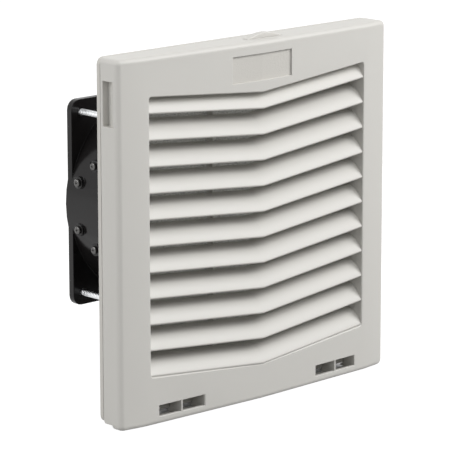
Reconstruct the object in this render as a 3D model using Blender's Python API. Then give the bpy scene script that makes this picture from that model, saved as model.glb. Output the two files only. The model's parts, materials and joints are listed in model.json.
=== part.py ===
"""Cabinet filter fan: a hinged louvred cover on a snap-in base frame, with a
square axial fan on an adapter shroud behind it.

Frame: X to the right, Y into the cabinet, Z up. The origin is the centre of the
panel cut-out, in the front face of the panel that the base frame sits on.
"""
import math

import bmesh
import bpy
from mathutils import Matrix, Vector

MM = 0.001
GAP = 0.3 * MM

# Cover and base frame, outside
COVER_WIDTH = 204.0 * MM
COVER_HEIGHT = 204.0 * MM
COVER_EDGE_DEPTH = 16.75 * MM
RIM_MARGIN_SIDE = 14.0 * MM
RIM_MARGIN_TOP = 9.7 * MM
RIM_MARGIN_BOTTOM = 18.3 * MM
STRIP_WIDTH = 16.0 * MM
STRIP_STEP = 2.4 * MM
RIDGE_STEP = 2.8 * MM
COVER_WALL = 2.2 * MM
COVER_CORNER_RADIUS = 3.0 * MM
COVER_EDGE_RADIUS = 2.6 * MM

# Louvred opening and its chevron slats
OPENING_FROM_SIDE = 20.3 * MM
OPENING_FROM_TOP = 21.8 * MM
OPENING_FROM_BOTTOM = 27.4 * MM
CHEVRON_DROP = 6.9 * MM
OPENING_CORNER_RADIUS = 1.5 * MM
OPENING_CHAMFER = 0.5 * MM
FIRST_LIP_FROM_OPENING = 8.0 * MM
SLAT_PITCH = 14.55 * MM
SLAT_DEPTH = 14.3 * MM
SLAT_THICKNESS = 1.8 * MM
SLAT_LIP_ANGLE = math.radians(62.0)
SLAT_REAR_ANGLE = math.radians(3.0)
SLAT_ARC_STEPS = 7
LIP_SET_BACK = 0.6 * MM
REVEAL_WALL = 1.6 * MM
RIB_SPACING = 50.0 * MM
RIB_THICKNESS = 1.2 * MM
RIB_DEPTH = 4.6 * MM

# Bare badge recess
BADGE_WIDTH = 45.0 * MM
BADGE_HEIGHT = 15.0 * MM
BADGE_CENTRE_FROM_TOP = 14.5 * MM
BADGE_DEPTH = 1.0 * MM

# Grip pockets in the side walls
POCKET_WIDTH = 8.2 * MM
POCKET_HEIGHT = 24.6 * MM
POCKET_CENTRE_FROM_TOP = 24.5 * MM
POCKET_FROM_FRONT = 3.8 * MM
POCKET_DEPTH = 3.8 * MM

# Hinge windows, hooks and rods along the bottom
WINDOW_HEIGHT = 6.2 * MM
WINDOW_WIDTH = 15.7 * MM
WINDOW_CENTRE_FROM_BOTTOM = 7.5 * MM
WINDOW_PAIR_FROM_SIDE = 42.3 * MM
WINDOW_POST = 1.2 * MM
WINDOW_CHAMFER = 0.5 * MM
BOTTOM_LIP_DEPTH = 7.0 * MM
BOTTOM_RELIEF = 2.5 * MM
HINGE_FROM_FRONT = 8.4 * MM
HINGE_FROM_BOTTOM = 5.4 * MM
HINGE_ROD_RADIUS = 1.4 * MM
HINGE_HOOK_WALL = 1.7 * MM
HINGE_SUPPORT_WIDTH = 2.2 * MM

# Latch under the top edge, with an arched pad that stands through it
LATCH_CENTRE_X = 8.6 * MM
LATCH_PAD_WIDTH = 25.6 * MM
LATCH_PAD_FROM_FRONT = 2.8 * MM
LATCH_PAD_DEPTH = 4.6 * MM
LATCH_PAD_PROUD = 2.8 * MM
LATCH_PAD_FOOT = 0.2 * MM
LATCH_PAD_EDGE = 0.6 * MM
LATCH_TRAVEL_GAP = 0.5 * MM
LATCH_TONGUE_WIDTH = 24.0 * MM
LATCH_TONGUE_DEPTH = 10.0 * MM
LATCH_LEG = 7.0 * MM
LATCH_THICKNESS = 2.0 * MM
LATCH_PRESS_ANGLE = math.radians(6.0)

# Base frame: rim in front of the panel, box through the cut-out
RIM_DEPTH = 2.6 * MM
RIM_CORNER_RADIUS = 4.0 * MM
BOX_WALL = 2.4 * MM
BOX_DEPTH = 16.0 * MM
BOX_CORNER_RADIUS = 5.0 * MM
MAT_THICKNESS = 11.8 * MM
GRID_THICKNESS = 2.4 * MM
GRID_CELL = 21.4 * MM
GRID_BAR = 2.2 * MM
GASKET_WIDTH = 5.0 * MM
GASKET_DEPTH = 1.2 * MM
GASKET_PROUD = 0.6 * MM
GASKET_FROM_BOX = 1.6 * MM

# Retaining clips in the left and right box walls
CLIP_WIDTH = 16.0 * MM
CLIP_FROM_BOX_END = 42.0 * MM
CLIP_REACH = 4.2 * MM
CLIP_THICKNESS = 1.2 * MM
CLIP_FRONT_Y = 2.4 * MM
CLIP_REAR_Y = 14.6 * MM
CLIP_ROOT_LENGTH = 2.6 * MM

# Adapter shroud
SHROUD_LIP = 1.8 * MM
SHROUD_LIP_INSET = 2.0 * MM
SHROUD_WALL = 2.4 * MM
SHROUD_END_MARGIN = 2.5 * MM
SHROUD_PLATE = 2.5 * MM
SHROUD_INTAKE_STEP = 0.6 * MM
SHROUD_SCREW_INSET = 9.5 * MM
SHROUD_BOSS_RADIUS = 4.2 * MM

# Square axial fan
FAN_FRONT_Y = 37.6 * MM
FAN_SIZE = 119.0 * MM
FAN_DEPTH = 38.0 * MM
FAN_FLANGE = 3.8 * MM
FAN_CORNER_RADIUS = 5.8 * MM
FAN_HOLE_INSET = 7.1 * MM
FAN_HOLE_RADIUS = 2.3 * MM
BARREL_PROUD = 1.7 * MM
BARREL_WALL = 4.0 * MM
SPIDER_ARM_WIDTH = 7.0 * MM
SPIDER_THICKNESS = 3.2 * MM
LUG_RADIUS = 3.6 * MM
LUG_HOLE_RADIUS = 1.5 * MM
LUG_PROUD = 1.4 * MM
REAR_LUG_Z = 13.6 * MM
REAR_LUG_FROM_BACK = 10.7 * MM
FRONT_LUG_Z = 24.0 * MM
FRONT_LUG_FROM_BACK = 20.7 * MM

# Motor and impeller, all turned about the Y axis
SHAFT_RADIUS = 2.5 * MM
BEARING_RADIUS = 8.0 * MM
BEARING_WIDTH = 5.0 * MM
TUBE_WALL = 1.9 * MM
AIR_GAP = 1.5 * MM
COIL_ROOM = 6.5 * MM
ROTOR_RADIUS = 31.0 * MM
ROTOR_WALL = 1.6 * MM
ROTOR_RING_WALL = 2.6 * MM
ROTOR_SET_BACK = 5.4 * MM
MOTOR_PLATE = 1.8 * MM
HUB_WALL = 1.8 * MM
BLADE_COUNT = 7
BLADE_TIP_CLEARANCE = 1.6 * MM
BLADE_MARGIN = 1.5 * MM
BLADE_THICKNESS = 1.6 * MM
BLADE_ROOT_TWIST = math.radians(46.0)
BLADE_TIP_TWIST = math.radians(34.0)
BLADE_SWEEP = math.radians(12.0)

# Screws, nuts and finger guard
SCREW_RADIUS = 1.9 * MM
SCREW_HEAD_RADIUS = 3.4 * MM
SCREW_HEAD_HEIGHT = 1.8 * MM
NUT_RADIUS = 4.0 * MM
NUT_HEIGHT = 3.0 * MM
GUARD_WIRE_RADIUS = 0.8 * MM
GUARD_RING_COUNT = 4
GUARD_FIRST_RING = 10.0 * MM
GUARD_LAST_RING_INSET = 7.0 * MM
GUARD_STAND_OFF = 4.6 * MM
TERMINAL_WIDTH = 16.0 * MM
TERMINAL_DEPTH = 10.0 * MM

# Places that follow from the sizes above
HALF_WIDTH = COVER_WIDTH / 2
BOX_HALF_X = HALF_WIDTH - RIM_MARGIN_SIDE
BOX_HALF_Z = (COVER_HEIGHT - RIM_MARGIN_TOP - RIM_MARGIN_BOTTOM) / 2
TOP_Z = BOX_HALF_Z + RIM_MARGIN_TOP
BOTTOM_Z = -BOX_HALF_Z - RIM_MARGIN_BOTTOM
COVER_REAR_Y = -(RIM_DEPTH + GAP)
EDGE_FRONT_Y = -COVER_EDGE_DEPTH
RIDGE_Y = EDGE_FRONT_Y - STRIP_STEP - RIDGE_STEP
STRIP_INNER_X = HALF_WIDTH - STRIP_WIDTH
OPENING_HALF_WIDTH = HALF_WIDTH - OPENING_FROM_SIDE
OPENING_TOP = TOP_Z - OPENING_FROM_TOP
OPENING_BOTTOM = BOTTOM_Z + OPENING_FROM_BOTTOM
FIRST_LIP_Z = OPENING_TOP - FIRST_LIP_FROM_OPENING
SLAT_COUNT = 1 + int((FIRST_LIP_Z - OPENING_BOTTOM) / SLAT_PITCH)
BADGE_CENTRE_Z = TOP_Z - BADGE_CENTRE_FROM_TOP
POCKET_CENTRE_Z = TOP_Z - POCKET_CENTRE_FROM_TOP
WINDOW_CENTRE_Z = BOTTOM_Z + WINDOW_CENTRE_FROM_BOTTOM
WINDOW_PAIR_CENTRE_X = HALF_WIDTH - WINDOW_PAIR_FROM_SIDE
HINGE_Y = EDGE_FRONT_Y + HINGE_FROM_FRONT
HINGE_Z = BOTTOM_Z + HINGE_FROM_BOTTOM
RIM_BOTTOM_Z = BOTTOM_Z + BOTTOM_RELIEF
BOX_INNER_X = BOX_HALF_X - BOX_WALL
BOX_INNER_Z = BOX_HALF_Z - BOX_WALL
CLIP_OFFSET_Z = BOX_HALF_Z - CLIP_FROM_BOX_END
MAT_FRONT_Y = COVER_REAR_Y + 2 * GAP
GRID_FRONT_Y = MAT_FRONT_Y + MAT_THICKNESS + GAP
GRID_REAR_Y = GRID_FRONT_Y + GRID_THICKNESS
FAN_HALF = FAN_SIZE / 2
FAN_REAR_Y = FAN_FRONT_Y + FAN_DEPTH
HOLE_OFFSET = FAN_HALF - FAN_HOLE_INSET
BARREL_OUTER_RADIUS = FAN_HALF + BARREL_PROUD
BARREL_BORE_RADIUS = BARREL_OUTER_RADIUS - BARREL_WALL
SHROUD_REAR_Y = FAN_FRONT_Y - GAP
SHROUD_END_HALF = FAN_HALF + SHROUD_END_MARGIN
SHROUD_INTAKE_RADIUS = BARREL_BORE_RADIUS - SHROUD_INTAKE_STEP
SHROUD_SCREW_X = BOX_HALF_X - SHROUD_SCREW_INSET
SHROUD_SCREW_Z = BOX_HALF_Z - SHROUD_SCREW_INSET
MOTOR_BASE_REAR_Y = FAN_REAR_Y - SPIDER_THICKNESS - GAP
MOTOR_BASE_FRONT_Y = MOTOR_BASE_REAR_Y - MOTOR_PLATE
ROTOR_FRONT_Y = FAN_FRONT_Y + ROTOR_SET_BACK
ROTOR_REAR_Y = MOTOR_BASE_FRONT_Y - GAP
ROTOR_LENGTH = ROTOR_REAR_Y - ROTOR_FRONT_Y
CORE_RADIUS = ROTOR_RADIUS - ROTOR_WALL - GAP - ROTOR_RING_WALL - AIR_GAP
SPIDER_HUB_RADIUS = ROTOR_RADIUS - MM
GUARD_Y = FAN_REAR_Y + GUARD_STAND_OFF
GUARD_LAST_RING = BARREL_BORE_RADIUS - GUARD_LAST_RING_INSET
GUARD_RING_STEP = (GUARD_LAST_RING - GUARD_FIRST_RING) / (GUARD_RING_COUNT - 1)
HINGE_CLEAR_RADIUS = HINGE_ROD_RADIUS + GAP
LATCH_PAD_FRONT_Y = EDGE_FRONT_Y + LATCH_PAD_FROM_FRONT
LATCH_TOP_Z = TOP_Z - COVER_WALL - 2 * GAP
LATCH_AXIS_Y = COVER_REAR_Y - LATCH_THICKNESS / 2
LATCH_AXIS_Z = LATCH_TOP_Z - LATCH_THICKNESS / 2
OVERLAP = 0.4 * MM
CORNER_SIGNS = [(-1, -1), (1, -1), (1, 1), (-1, 1)]


def clear_scene():
    for obj in list(bpy.data.objects):
        bpy.data.objects.remove(obj, do_unlink=True)


def make_material(name, colour, roughness, metallic=0.0):
    material = bpy.data.materials.new(name)
    material.use_nodes = True
    shader = material.node_tree.nodes["Principled BSDF"]
    shader.inputs["Base Color"].default_value = (*colour, 1.0)
    shader.inputs["Roughness"].default_value = roughness
    shader.inputs["Metallic"].default_value = metallic
    return material


def add_object(name, bm, material=None):
    """Put the bmesh in the scene as a named object, with its faces turned outward."""
    bmesh.ops.recalc_face_normals(bm, faces=bm.faces)
    mesh = bpy.data.meshes.new(name)
    bm.to_mesh(mesh)
    bm.free()
    obj = bpy.data.objects.new(name, mesh)
    bpy.context.collection.objects.link(obj)
    if material:
        mesh.materials.append(material)
    return obj


def to_world(axis, u, v, along):
    """Point from a drawing in the plane across the named axis."""
    if axis == "X":
        return Vector((along, u, v))
    if axis == "Y":
        return Vector((u, along, v))
    return Vector((u, v, along))


def prism(outline, axis, low, high):
    """Closed outline extruded along one axis between two places."""
    bm = bmesh.new()
    face = bm.faces.new([bm.verts.new(to_world(axis, u, v, low)) for u, v in outline])
    grown = bmesh.ops.extrude_face_region(bm, geom=[face])
    moved = [item for item in grown["geom"] if isinstance(item, bmesh.types.BMVert)]
    shift = to_world(axis, 0.0, 0.0, high - low)
    bmesh.ops.translate(bm, verts=moved, vec=shift)
    return bm


def box(x_range, y_range, z_range):
    """Rectangular block between three pairs of coordinates."""
    outline = [(x_range[0], z_range[0]), (x_range[1], z_range[0]),
               (x_range[1], z_range[1]), (x_range[0], z_range[1])]
    return prism(outline, "Y", *y_range)


def circle(radius, steps, centre=(0.0, 0.0), start=0.0):
    turn = 2 * math.pi / steps
    return [(centre[0] + radius * math.cos(start + turn * step),
             centre[1] + radius * math.sin(start + turn * step)) for step in range(steps)]


def rounded_rectangle(x_half, z_low, z_high, radius, steps=3):
    """Outline of a rectangle about x = 0 with rounded corners."""
    corners = [(x_half, z_high, 0.0), (-x_half, z_high, 90.0),
               (-x_half, z_low, 180.0), (x_half, z_low, 270.0)]
    outline = []
    for x, z, start in corners:
        centre_x = x - math.copysign(radius, x)
        centre_z = z - radius if z == z_high else z + radius
        for step in range(steps + 1):
            angle = math.radians(start + 90.0 * step / steps)
            outline.append((centre_x + radius * math.cos(angle),
                            centre_z + radius * math.sin(angle)))
    return outline


def around_box(margin, radius):
    """Rounded outline of the box that passes through the panel, grown by the margin."""
    return rounded_rectangle(BOX_HALF_X + margin, -BOX_HALF_Z - margin, BOX_HALF_Z + margin, radius)


def cylinder(radius, axis, low, high, centre=(0.0, 0.0), steps=24, start=0.0):
    return prism(circle(radius, steps, centre, start), axis, low, high)


def turned(profile, steps):
    """Closed profile of (radius, y) pairs spun about the Y axis."""
    bm = bmesh.new()
    verts = [bm.verts.new((radius, y, 0.0)) for radius, y in profile]
    edges = [bm.edges.new((verts[i], verts[(i + 1) % len(verts)])) for i in range(len(verts))]
    bmesh.ops.spin(bm, geom=verts + edges, cent=(0, 0, 0), axis=(0, 1, 0),
                   angle=2 * math.pi, steps=steps, use_merge=True)
    bmesh.ops.remove_doubles(bm, verts=bm.verts, dist=0.001 * MM)
    return bm


def ring(inner, outer, low, high, steps):
    return turned([(inner, low), (outer, low), (outer, high), (inner, high)], steps)


def loft(loops, closed, strip_caps=False):
    """Skin through loops of equal length, capped at the ends or closed on itself.

    A strip cap joins opposite points of its loop, so it follows a curved end.
    """
    bm = bmesh.new()
    rows = [[bm.verts.new(point) for point in loop] for loop in loops]
    count = len(rows[0])
    pairs = list(zip(rows, rows[1:]))
    if closed:
        pairs.append((rows[-1], rows[0]))
    for first, second in pairs:
        for i in range(count):
            j = (i + 1) % count
            bm.faces.new((first[i], first[j], second[j], second[i]))
    if closed:
        return bm
    for row in (rows[0], rows[-1]):
        if strip_caps:
            for i in range(count // 2 - 1):
                bm.faces.new((row[i], row[i + 1], row[count - 2 - i], row[count - 1 - i]))
        else:
            bm.faces.new(row)
    return bm


def combine(target, operation, tools):
    """Cut the tools from the target, or join them to it, and drop the tools."""
    group = bpy.data.collections.new("tools")
    for tool in tools:
        group.objects.link(tool)
    modifier = target.modifiers.new(operation.title(), "BOOLEAN")
    modifier.operation = operation
    modifier.solver = "EXACT"
    modifier.operand_type = "COLLECTION"
    modifier.collection = group
    depsgraph = bpy.context.evaluated_depsgraph_get()
    finished = bpy.data.meshes.new_from_object(target.evaluated_get(depsgraph))
    target.modifiers.clear()
    target.data = finished
    for tool in tools:
        bpy.data.objects.remove(tool, do_unlink=True)
    bpy.data.collections.remove(group)
    return target


def round_edges(bm, chosen, radius, steps):
    edges = [edge for edge in bm.edges if chosen(edge)]
    bmesh.ops.bevel(bm, geom=edges, offset=radius, segments=steps, profile=0.5, affect="EDGES")


def smooth(obj, angle=35.0):
    """Shade a round piece smooth, with its corners kept sharp."""
    obj.data.shade_smooth()
    obj.data.set_sharp_from_angle(angle=math.radians(angle))
    return obj


def set_origin(obj, point):
    """Move the object's origin to the point, with its shape left in place."""
    obj.data.transform(Matrix.Translation(-Vector(point)))
    obj.location = point
    return obj


def front_y(x):
    """Depth of the cover's front face: a shallow ridge with side strips that fall back."""
    side = abs(x)
    if side >= STRIP_INNER_X:
        return EDGE_FRONT_Y - STRIP_STEP * (HALF_WIDTH - side) / STRIP_WIDTH
    return EDGE_FRONT_Y - STRIP_STEP - RIDGE_STEP * (1 - side / STRIP_INNER_X)


def front_plan(half, inset, rear_y):
    """Plan outline behind the front face, set back by the inset."""
    strip = min(STRIP_INNER_X, half - MM)
    xs = [-half, -strip, 0.0, strip, half]
    plan = [(x, front_y(x) + inset) for x in xs]
    return [(-half, rear_y)] + plan + [(half, rear_y)]


def chevron(half, top, bottom, grow=0.0):
    """Outline with both long edges bent down in the middle."""
    return [(-half - grow, top + grow), (0.0, top - CHEVRON_DROP + grow), (half + grow, top + grow),
            (half + grow, bottom - grow), (0.0, bottom - CHEVRON_DROP - grow),
            (-half - grow, bottom - grow)]


def rounded_corners(outline, corners, radius, steps=3):
    """The outline with the numbered corners replaced by arcs."""
    points = []
    for index, corner in enumerate(outline):
        if index not in corners:
            points.append(corner)
            continue
        here = Vector(corner)
        back = (Vector(outline[index - 1]) - here).normalized()
        ahead = (Vector(outline[(index + 1) % len(outline)]) - here).normalized()
        half_angle = back.angle(ahead) / 2
        centre = here + (back + ahead).normalized() * radius / math.sin(half_angle)
        reach = radius / math.tan(half_angle)
        first = (here + back * reach - centre).normalized()
        last = (here + ahead * reach - centre).normalized()
        for step in range(steps + 1):
            points.append(tuple(centre + first.slerp(last, step / steps) * radius))
    return points


def opening_cutter():
    """Chevron opening with rounded corners and a chamfer round its front edge."""
    loops = []
    for depth, grow in ((-MM, MM + OPENING_CHAMFER), (OPENING_CHAMFER, 0.0)):
        outline = rounded_corners(chevron(OPENING_HALF_WIDTH, OPENING_TOP, OPENING_BOTTOM, grow),
                                  (0, 2, 3, 5), OPENING_CORNER_RADIUS + grow)
        loops.append([(x, front_y(x) + depth, z) for x, z in outline])
    loops.append([(x, MM, z) for x, z in outline])
    return add_object("opening", loft(loops, closed=False, strip_caps=True))


def slat_section():
    """Slat profile as (depth, height) pairs behind and above its lip."""
    radius = SLAT_DEPTH / (math.sin(SLAT_LIP_ANGLE) - math.sin(SLAT_REAR_ANGLE))
    centre = Vector((radius * math.sin(SLAT_LIP_ANGLE), -radius * math.cos(SLAT_LIP_ANGLE)))

    def arc_point(distance, angle):
        return centre + distance * Vector((-math.sin(angle), math.cos(angle)))

    angles = [SLAT_LIP_ANGLE + (SLAT_REAR_ANGLE - SLAT_LIP_ANGLE) * step / SLAT_ARC_STEPS
              for step in range(SLAT_ARC_STEPS + 1)]
    top = [arc_point(radius, angle) for angle in angles]
    under = [arc_point(radius - SLAT_THICKNESS, angle) for angle in reversed(angles)]
    middle = arc_point(radius - SLAT_THICKNESS / 2, SLAT_LIP_ANGLE)
    forward = Vector((-math.cos(SLAT_LIP_ANGLE), -math.sin(SLAT_LIP_ANGLE)))
    outward = Vector((-math.sin(SLAT_LIP_ANGLE), math.cos(SLAT_LIP_ANGLE)))
    nose = []
    for degrees in (-50.0, 0.0, 50.0):
        turn = math.radians(degrees)
        reach = forward * math.cos(turn) + outward * math.sin(turn)
        nose.append(middle + reach * SLAT_THICKNESS / 2)
    return top + under + nose


def make_slat(lip_z):
    """One slat, swept along the chevron from wall to wall."""
    wall_x = OPENING_HALF_WIDTH + REVEAL_WALL / 2
    side_y = front_y(OPENING_HALF_WIDTH) + LIP_SET_BACK
    ridge_y = front_y(0.0) + LIP_SET_BACK - MM
    slope = wall_x / OPENING_HALF_WIDTH
    stations = [(-wall_x, slope), (0.0, 0.0), (wall_x, slope)]
    loops = []
    for x, share in stations:
        lip_y = ridge_y + (side_y - ridge_y) * share
        drop = CHEVRON_DROP * (1 - share)
        loops.append([(x, lip_y + depth, lip_z - drop + height) for depth, height in slat_section()])
    return add_object("slat", loft(loops, closed=False))


def make_cover_shell(plastic):
    """Tray with the ridged front, rounded arrises and a hollow back."""
    bm = prism(front_plan(HALF_WIDTH, 0.0, COVER_REAR_Y), "Z", BOTTOM_Z, TOP_Z)
    bmesh.ops.recalc_face_normals(bm, faces=bm.faces)
    limit = 0.001 * MM

    def runs_front_to_back(edge):
        a, b = (vert.co for vert in edge.verts)
        at_side = abs(abs(a.x) - HALF_WIDTH) < limit and abs(abs(b.x) - HALF_WIDTH) < limit
        return at_side and abs(a.y - b.y) > MM and abs(a.z - b.z) < limit

    round_edges(bm, runs_front_to_back, COVER_CORNER_RADIUS, 3)

    def on_front_outline(edge):
        if len(edge.link_faces) != 2:
            return False
        fronts = [face for face in edge.link_faces if face.normal.y < -0.9]
        return len(fronts) == 1 and max(vert.co.y for vert in edge.verts) < COVER_REAR_Y - MM

    bm.normal_update()
    round_edges(bm, on_front_outline, COVER_EDGE_RADIUS, 3)
    return add_object("front_grille", bm, plastic)


def hinge_plate(x_low, x_high):
    """Plate inside the cover with a hook that snaps over the hinge rod."""
    hook = HINGE_CLEAR_RADIUS + HINGE_HOOK_WALL
    top_z = WINDOW_CENTRE_Z + WINDOW_HEIGHT / 2 + MM
    arc = []
    for degrees in (40.0, 10.0, -20.0, -50.0, -80.0):
        angle = math.radians(degrees)
        arc.append((HINGE_Y + hook * math.cos(angle), HINGE_Z + hook * math.sin(angle)))
    outline = [(RIDGE_Y, BOTTOM_Z), (RIDGE_Y, top_z), (HINGE_Y - hook / 2, top_z)] + arc
    outline.append((HINGE_Y - hook / 2, BOTTOM_Z))
    plate = add_object("hinge_plate", prism(outline, "X", x_low, x_high))
    seat = add_object("seat", cylinder(HINGE_CLEAR_RADIUS, "X", x_low - MM, x_high + MM,
                                       (HINGE_Y, HINGE_Z), 16))
    mouth_half = HINGE_ROD_RADIUS * 0.85
    mouth = box((x_low - MM, x_high + MM), (0.0, 2 * hook), (-mouth_half, mouth_half))
    turn = Matrix.Translation((0.0, HINGE_Y, HINGE_Z)) @ Matrix.Rotation(math.radians(-45.0), 4, "X")
    bmesh.ops.transform(mouth, matrix=turn, verts=mouth.verts)
    return combine(plate, "DIFFERENCE", [seat, add_object("mouth", mouth)])


def window_xs():
    """Left and right edges of the four hinge windows."""
    spans = []
    for side in (-1, 1):
        centre = side * WINDOW_PAIR_CENTRE_X
        for part in (-1, 1):
            middle = centre + part * (WINDOW_POST + WINDOW_WIDTH) / 2
            spans.append((middle - WINDOW_WIDTH / 2, middle + WINDOW_WIDTH / 2))
    return spans


def plate_xs():
    """Left and right faces of the six hinge plates beside the windows."""
    outer = WINDOW_WIDTH + WINDOW_POST / 2
    spans = []
    for side in (-1, 1):
        centre = side * WINDOW_PAIR_CENTRE_X
        spans.append((centre - WINDOW_POST / 2, centre + WINDOW_POST / 2))
        spans.append((centre - outer - WINDOW_POST, centre - outer))
        spans.append((centre + outer, centre + outer + WINDOW_POST))
    return spans


def window_cutter(x_low, x_high):
    """Window through the front wall, with a chamfer round its front edge."""
    middle = (x_low + x_high) / 2
    face = front_y(middle)
    slant = (front_y(x_high) - front_y(x_low)) / (x_high - x_low)
    z_low = WINDOW_CENTRE_Z - WINDOW_HEIGHT / 2
    z_high = WINDOW_CENTRE_Z + WINDOW_HEIGHT / 2
    loops = []
    for depth, grow in ((-MM, 3 * WINDOW_CHAMFER), (WINDOW_CHAMFER, 0.0), (6 * MM, 0.0)):
        corners = [(x_low - grow, z_low - grow), (x_high + grow, z_low - grow),
                   (x_high + grow, z_high + grow), (x_low - grow, z_high + grow)]
        loops.append([(x, face + slant * (x - middle) + depth, z) for x, z in corners])
    return add_object("window", loft(loops, closed=False))


def side_pocket(side):
    """Grip pocket in a side wall, deepest at its rear."""
    front = EDGE_FRONT_Y + POCKET_FROM_FRONT
    rear = front + POCKET_WIDTH
    face = side * (HALF_WIDTH + MM)
    deep = side * (HALF_WIDTH - POCKET_DEPTH)
    shallow = side * (HALF_WIDTH - POCKET_DEPTH / 4)
    outline = [(face, rear), (deep, rear), (deep, rear - POCKET_WIDTH / 4),
               (shallow, front), (face, front)]
    z_low = POCKET_CENTRE_Z - POCKET_HEIGHT / 2
    return add_object("pocket", prism(outline, "Z", z_low, z_low + POCKET_HEIGHT))


def pocket_backing(side):
    """Thicker wall that stands behind a grip pocket."""
    inner = side * (HALF_WIDTH - POCKET_DEPTH - COVER_WALL / 2)
    face = side * (HALF_WIDTH + MM)
    z_low = POCKET_CENTRE_Z - POCKET_HEIGHT / 2 - COVER_WALL
    z_high = z_low + POCKET_HEIGHT + 2 * COVER_WALL
    return box(sorted((inner, face)), (2 * EDGE_FRONT_Y, MM), (z_low, z_high))


def make_front_grille(plastic):
    cover = make_cover_shell(plastic)

    inner_half = HALF_WIDTH - COVER_WALL
    hollow = add_object("hollow", prism(front_plan(inner_half, COVER_WALL, MM), "Z",
                                        BOTTOM_Z + COVER_WALL, TOP_Z - COVER_WALL))
    reveal_outline = chevron(OPENING_HALF_WIDTH, OPENING_TOP, OPENING_BOTTOM, REVEAL_WALL)
    kept = [add_object("reveal", prism(reveal_outline, "Y", 3 * EDGE_FRONT_Y, COVER_REAR_Y - GAP))]
    kept += [hinge_plate(low, high) for low, high in plate_xs()]
    kept += [add_object("backing", pocket_backing(side)) for side in (-1, 1)]
    combine(hollow, "DIFFERENCE", kept)

    cuts = [hollow]
    cuts.append(opening_cutter())
    cuts += [window_cutter(low, high) for low, high in window_xs()]
    cuts += [side_pocket(side) for side in (-1, 1)]
    combine(cover, "DIFFERENCE", cuts)

    half = BADGE_WIDTH / 2
    badge_plan = [(-half, front_y(half) + BADGE_DEPTH), (0.0, front_y(0.0) + BADGE_DEPTH),
                  (half, front_y(half) + BADGE_DEPTH), (half, 2 * EDGE_FRONT_Y),
                  (-half, 2 * EDGE_FRONT_Y)]
    badge_low = BADGE_CENTRE_Z - BADGE_HEIGHT / 2
    badge = add_object("badge", prism(badge_plan, "Z", badge_low, badge_low + BADGE_HEIGHT))
    lip_rear = EDGE_FRONT_Y + BOTTOM_LIP_DEPTH
    relief = add_object("relief", box((-2 * HALF_WIDTH, 2 * HALF_WIDTH), (lip_rear, MM),
                                      (2 * BOTTOM_Z, RIM_BOTTOM_Z)))
    swing = COVER_REAR_Y - HINGE_Y
    corner = [(HINGE_Y + swing * math.cos(math.radians(a)), HINGE_Z + swing * math.sin(math.radians(a)))
              for a in (0.0, -20.0, -40.0, -60.0)]
    corner += [(corner[-1][0], 2 * BOTTOM_Z), (MM, 2 * BOTTOM_Z), (MM, HINGE_Z)]
    rear_corner = add_object("rear_corner", prism(corner, "X", -2 * HALF_WIDTH, 2 * HALF_WIDTH))
    pad_half = LATCH_PAD_WIDTH / 2 + GAP
    notch = add_object("notch", box((LATCH_CENTRE_X - pad_half, LATCH_CENTRE_X + pad_half),
                                    (LATCH_PAD_FRONT_Y - LATCH_TRAVEL_GAP,
                                     LATCH_PAD_FRONT_Y + LATCH_PAD_DEPTH + GAP),
                                    (TOP_Z - 2 * COVER_WALL, TOP_Z + MM)))
    combine(cover, "DIFFERENCE", [badge, relief, rear_corner, notch])

    parts = [make_slat(FIRST_LIP_Z - SLAT_PITCH * index) for index in range(SLAT_COUNT)]
    rib_rear = COVER_REAR_Y - 2 * GAP
    for side in (-1, 1):
        x = side * RIB_SPACING / 2
        drop = CHEVRON_DROP * (1 - abs(x) / OPENING_HALF_WIDTH) + REVEAL_WALL / 2
        rib = box((x - RIB_THICKNESS / 2, x + RIB_THICKNESS / 2), (rib_rear - RIB_DEPTH, rib_rear),
                  (OPENING_BOTTOM - drop, OPENING_TOP - drop + REVEAL_WALL))
        parts.append(add_object("rib", rib))
    combine(cover, "UNION", parts)
    return set_origin(cover, (0.0, HINGE_Y, HINGE_Z))


def make_cover_latch(plastic):
    """Sprung tongue under the cover's top wall, with an arched pad that stands through it.

    Its leg leans away from the rim, so that it stays clear when the pad is pressed.
    """
    rear = COVER_REAR_Y
    tongue_low = LATCH_TOP_Z - LATCH_THICKNESS
    leg_low = tongue_low - LATCH_LEG
    leg_swing = LATCH_LEG * math.tan(LATCH_PRESS_ANGLE) + GAP
    half = LATCH_TONGUE_WIDTH / 2
    outline = [(rear - LATCH_TONGUE_DEPTH, tongue_low), (rear - LATCH_THICKNESS, tongue_low),
               (rear - LATCH_THICKNESS, leg_low), (rear - leg_swing, leg_low), (rear, tongue_low),
               (rear, LATCH_TOP_Z), (rear - LATCH_TONGUE_DEPTH, LATCH_TOP_Z)]
    latch = add_object("cover_latch", prism(outline, "X", LATCH_CENTRE_X - half,
                                            LATCH_CENTRE_X + half), plastic)

    pad_half = LATCH_PAD_WIDTH / 2
    foot = TOP_Z + LATCH_PAD_FOOT
    steps = 10
    arch = []
    for step in range(steps + 1):
        share = step / steps
        rise = (LATCH_PAD_PROUD - LATCH_PAD_FOOT) * math.sin(math.pi * share)
        arch.append((LATCH_CENTRE_X - pad_half + LATCH_PAD_WIDTH * share, foot + rise))
    low = LATCH_TOP_Z - OVERLAP
    outline = [(LATCH_CENTRE_X - pad_half, low)] + arch + [(LATCH_CENTRE_X + pad_half, low)]
    bm = prism(outline, "Y", LATCH_PAD_FRONT_Y, LATCH_PAD_FRONT_Y + LATCH_PAD_DEPTH)
    limit = 0.001 * MM

    def along_the_arch(edge):
        a, b = (vert.co for vert in edge.verts)
        return abs(a.y - b.y) < limit and min(a.z, b.z) > TOP_Z

    round_edges(bm, along_the_arch, LATCH_PAD_EDGE, 2)
    combine(latch, "UNION", [add_object("pad", bm)])
    return set_origin(latch, (LATCH_CENTRE_X, LATCH_AXIS_Y, LATCH_AXIS_Z))


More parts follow.
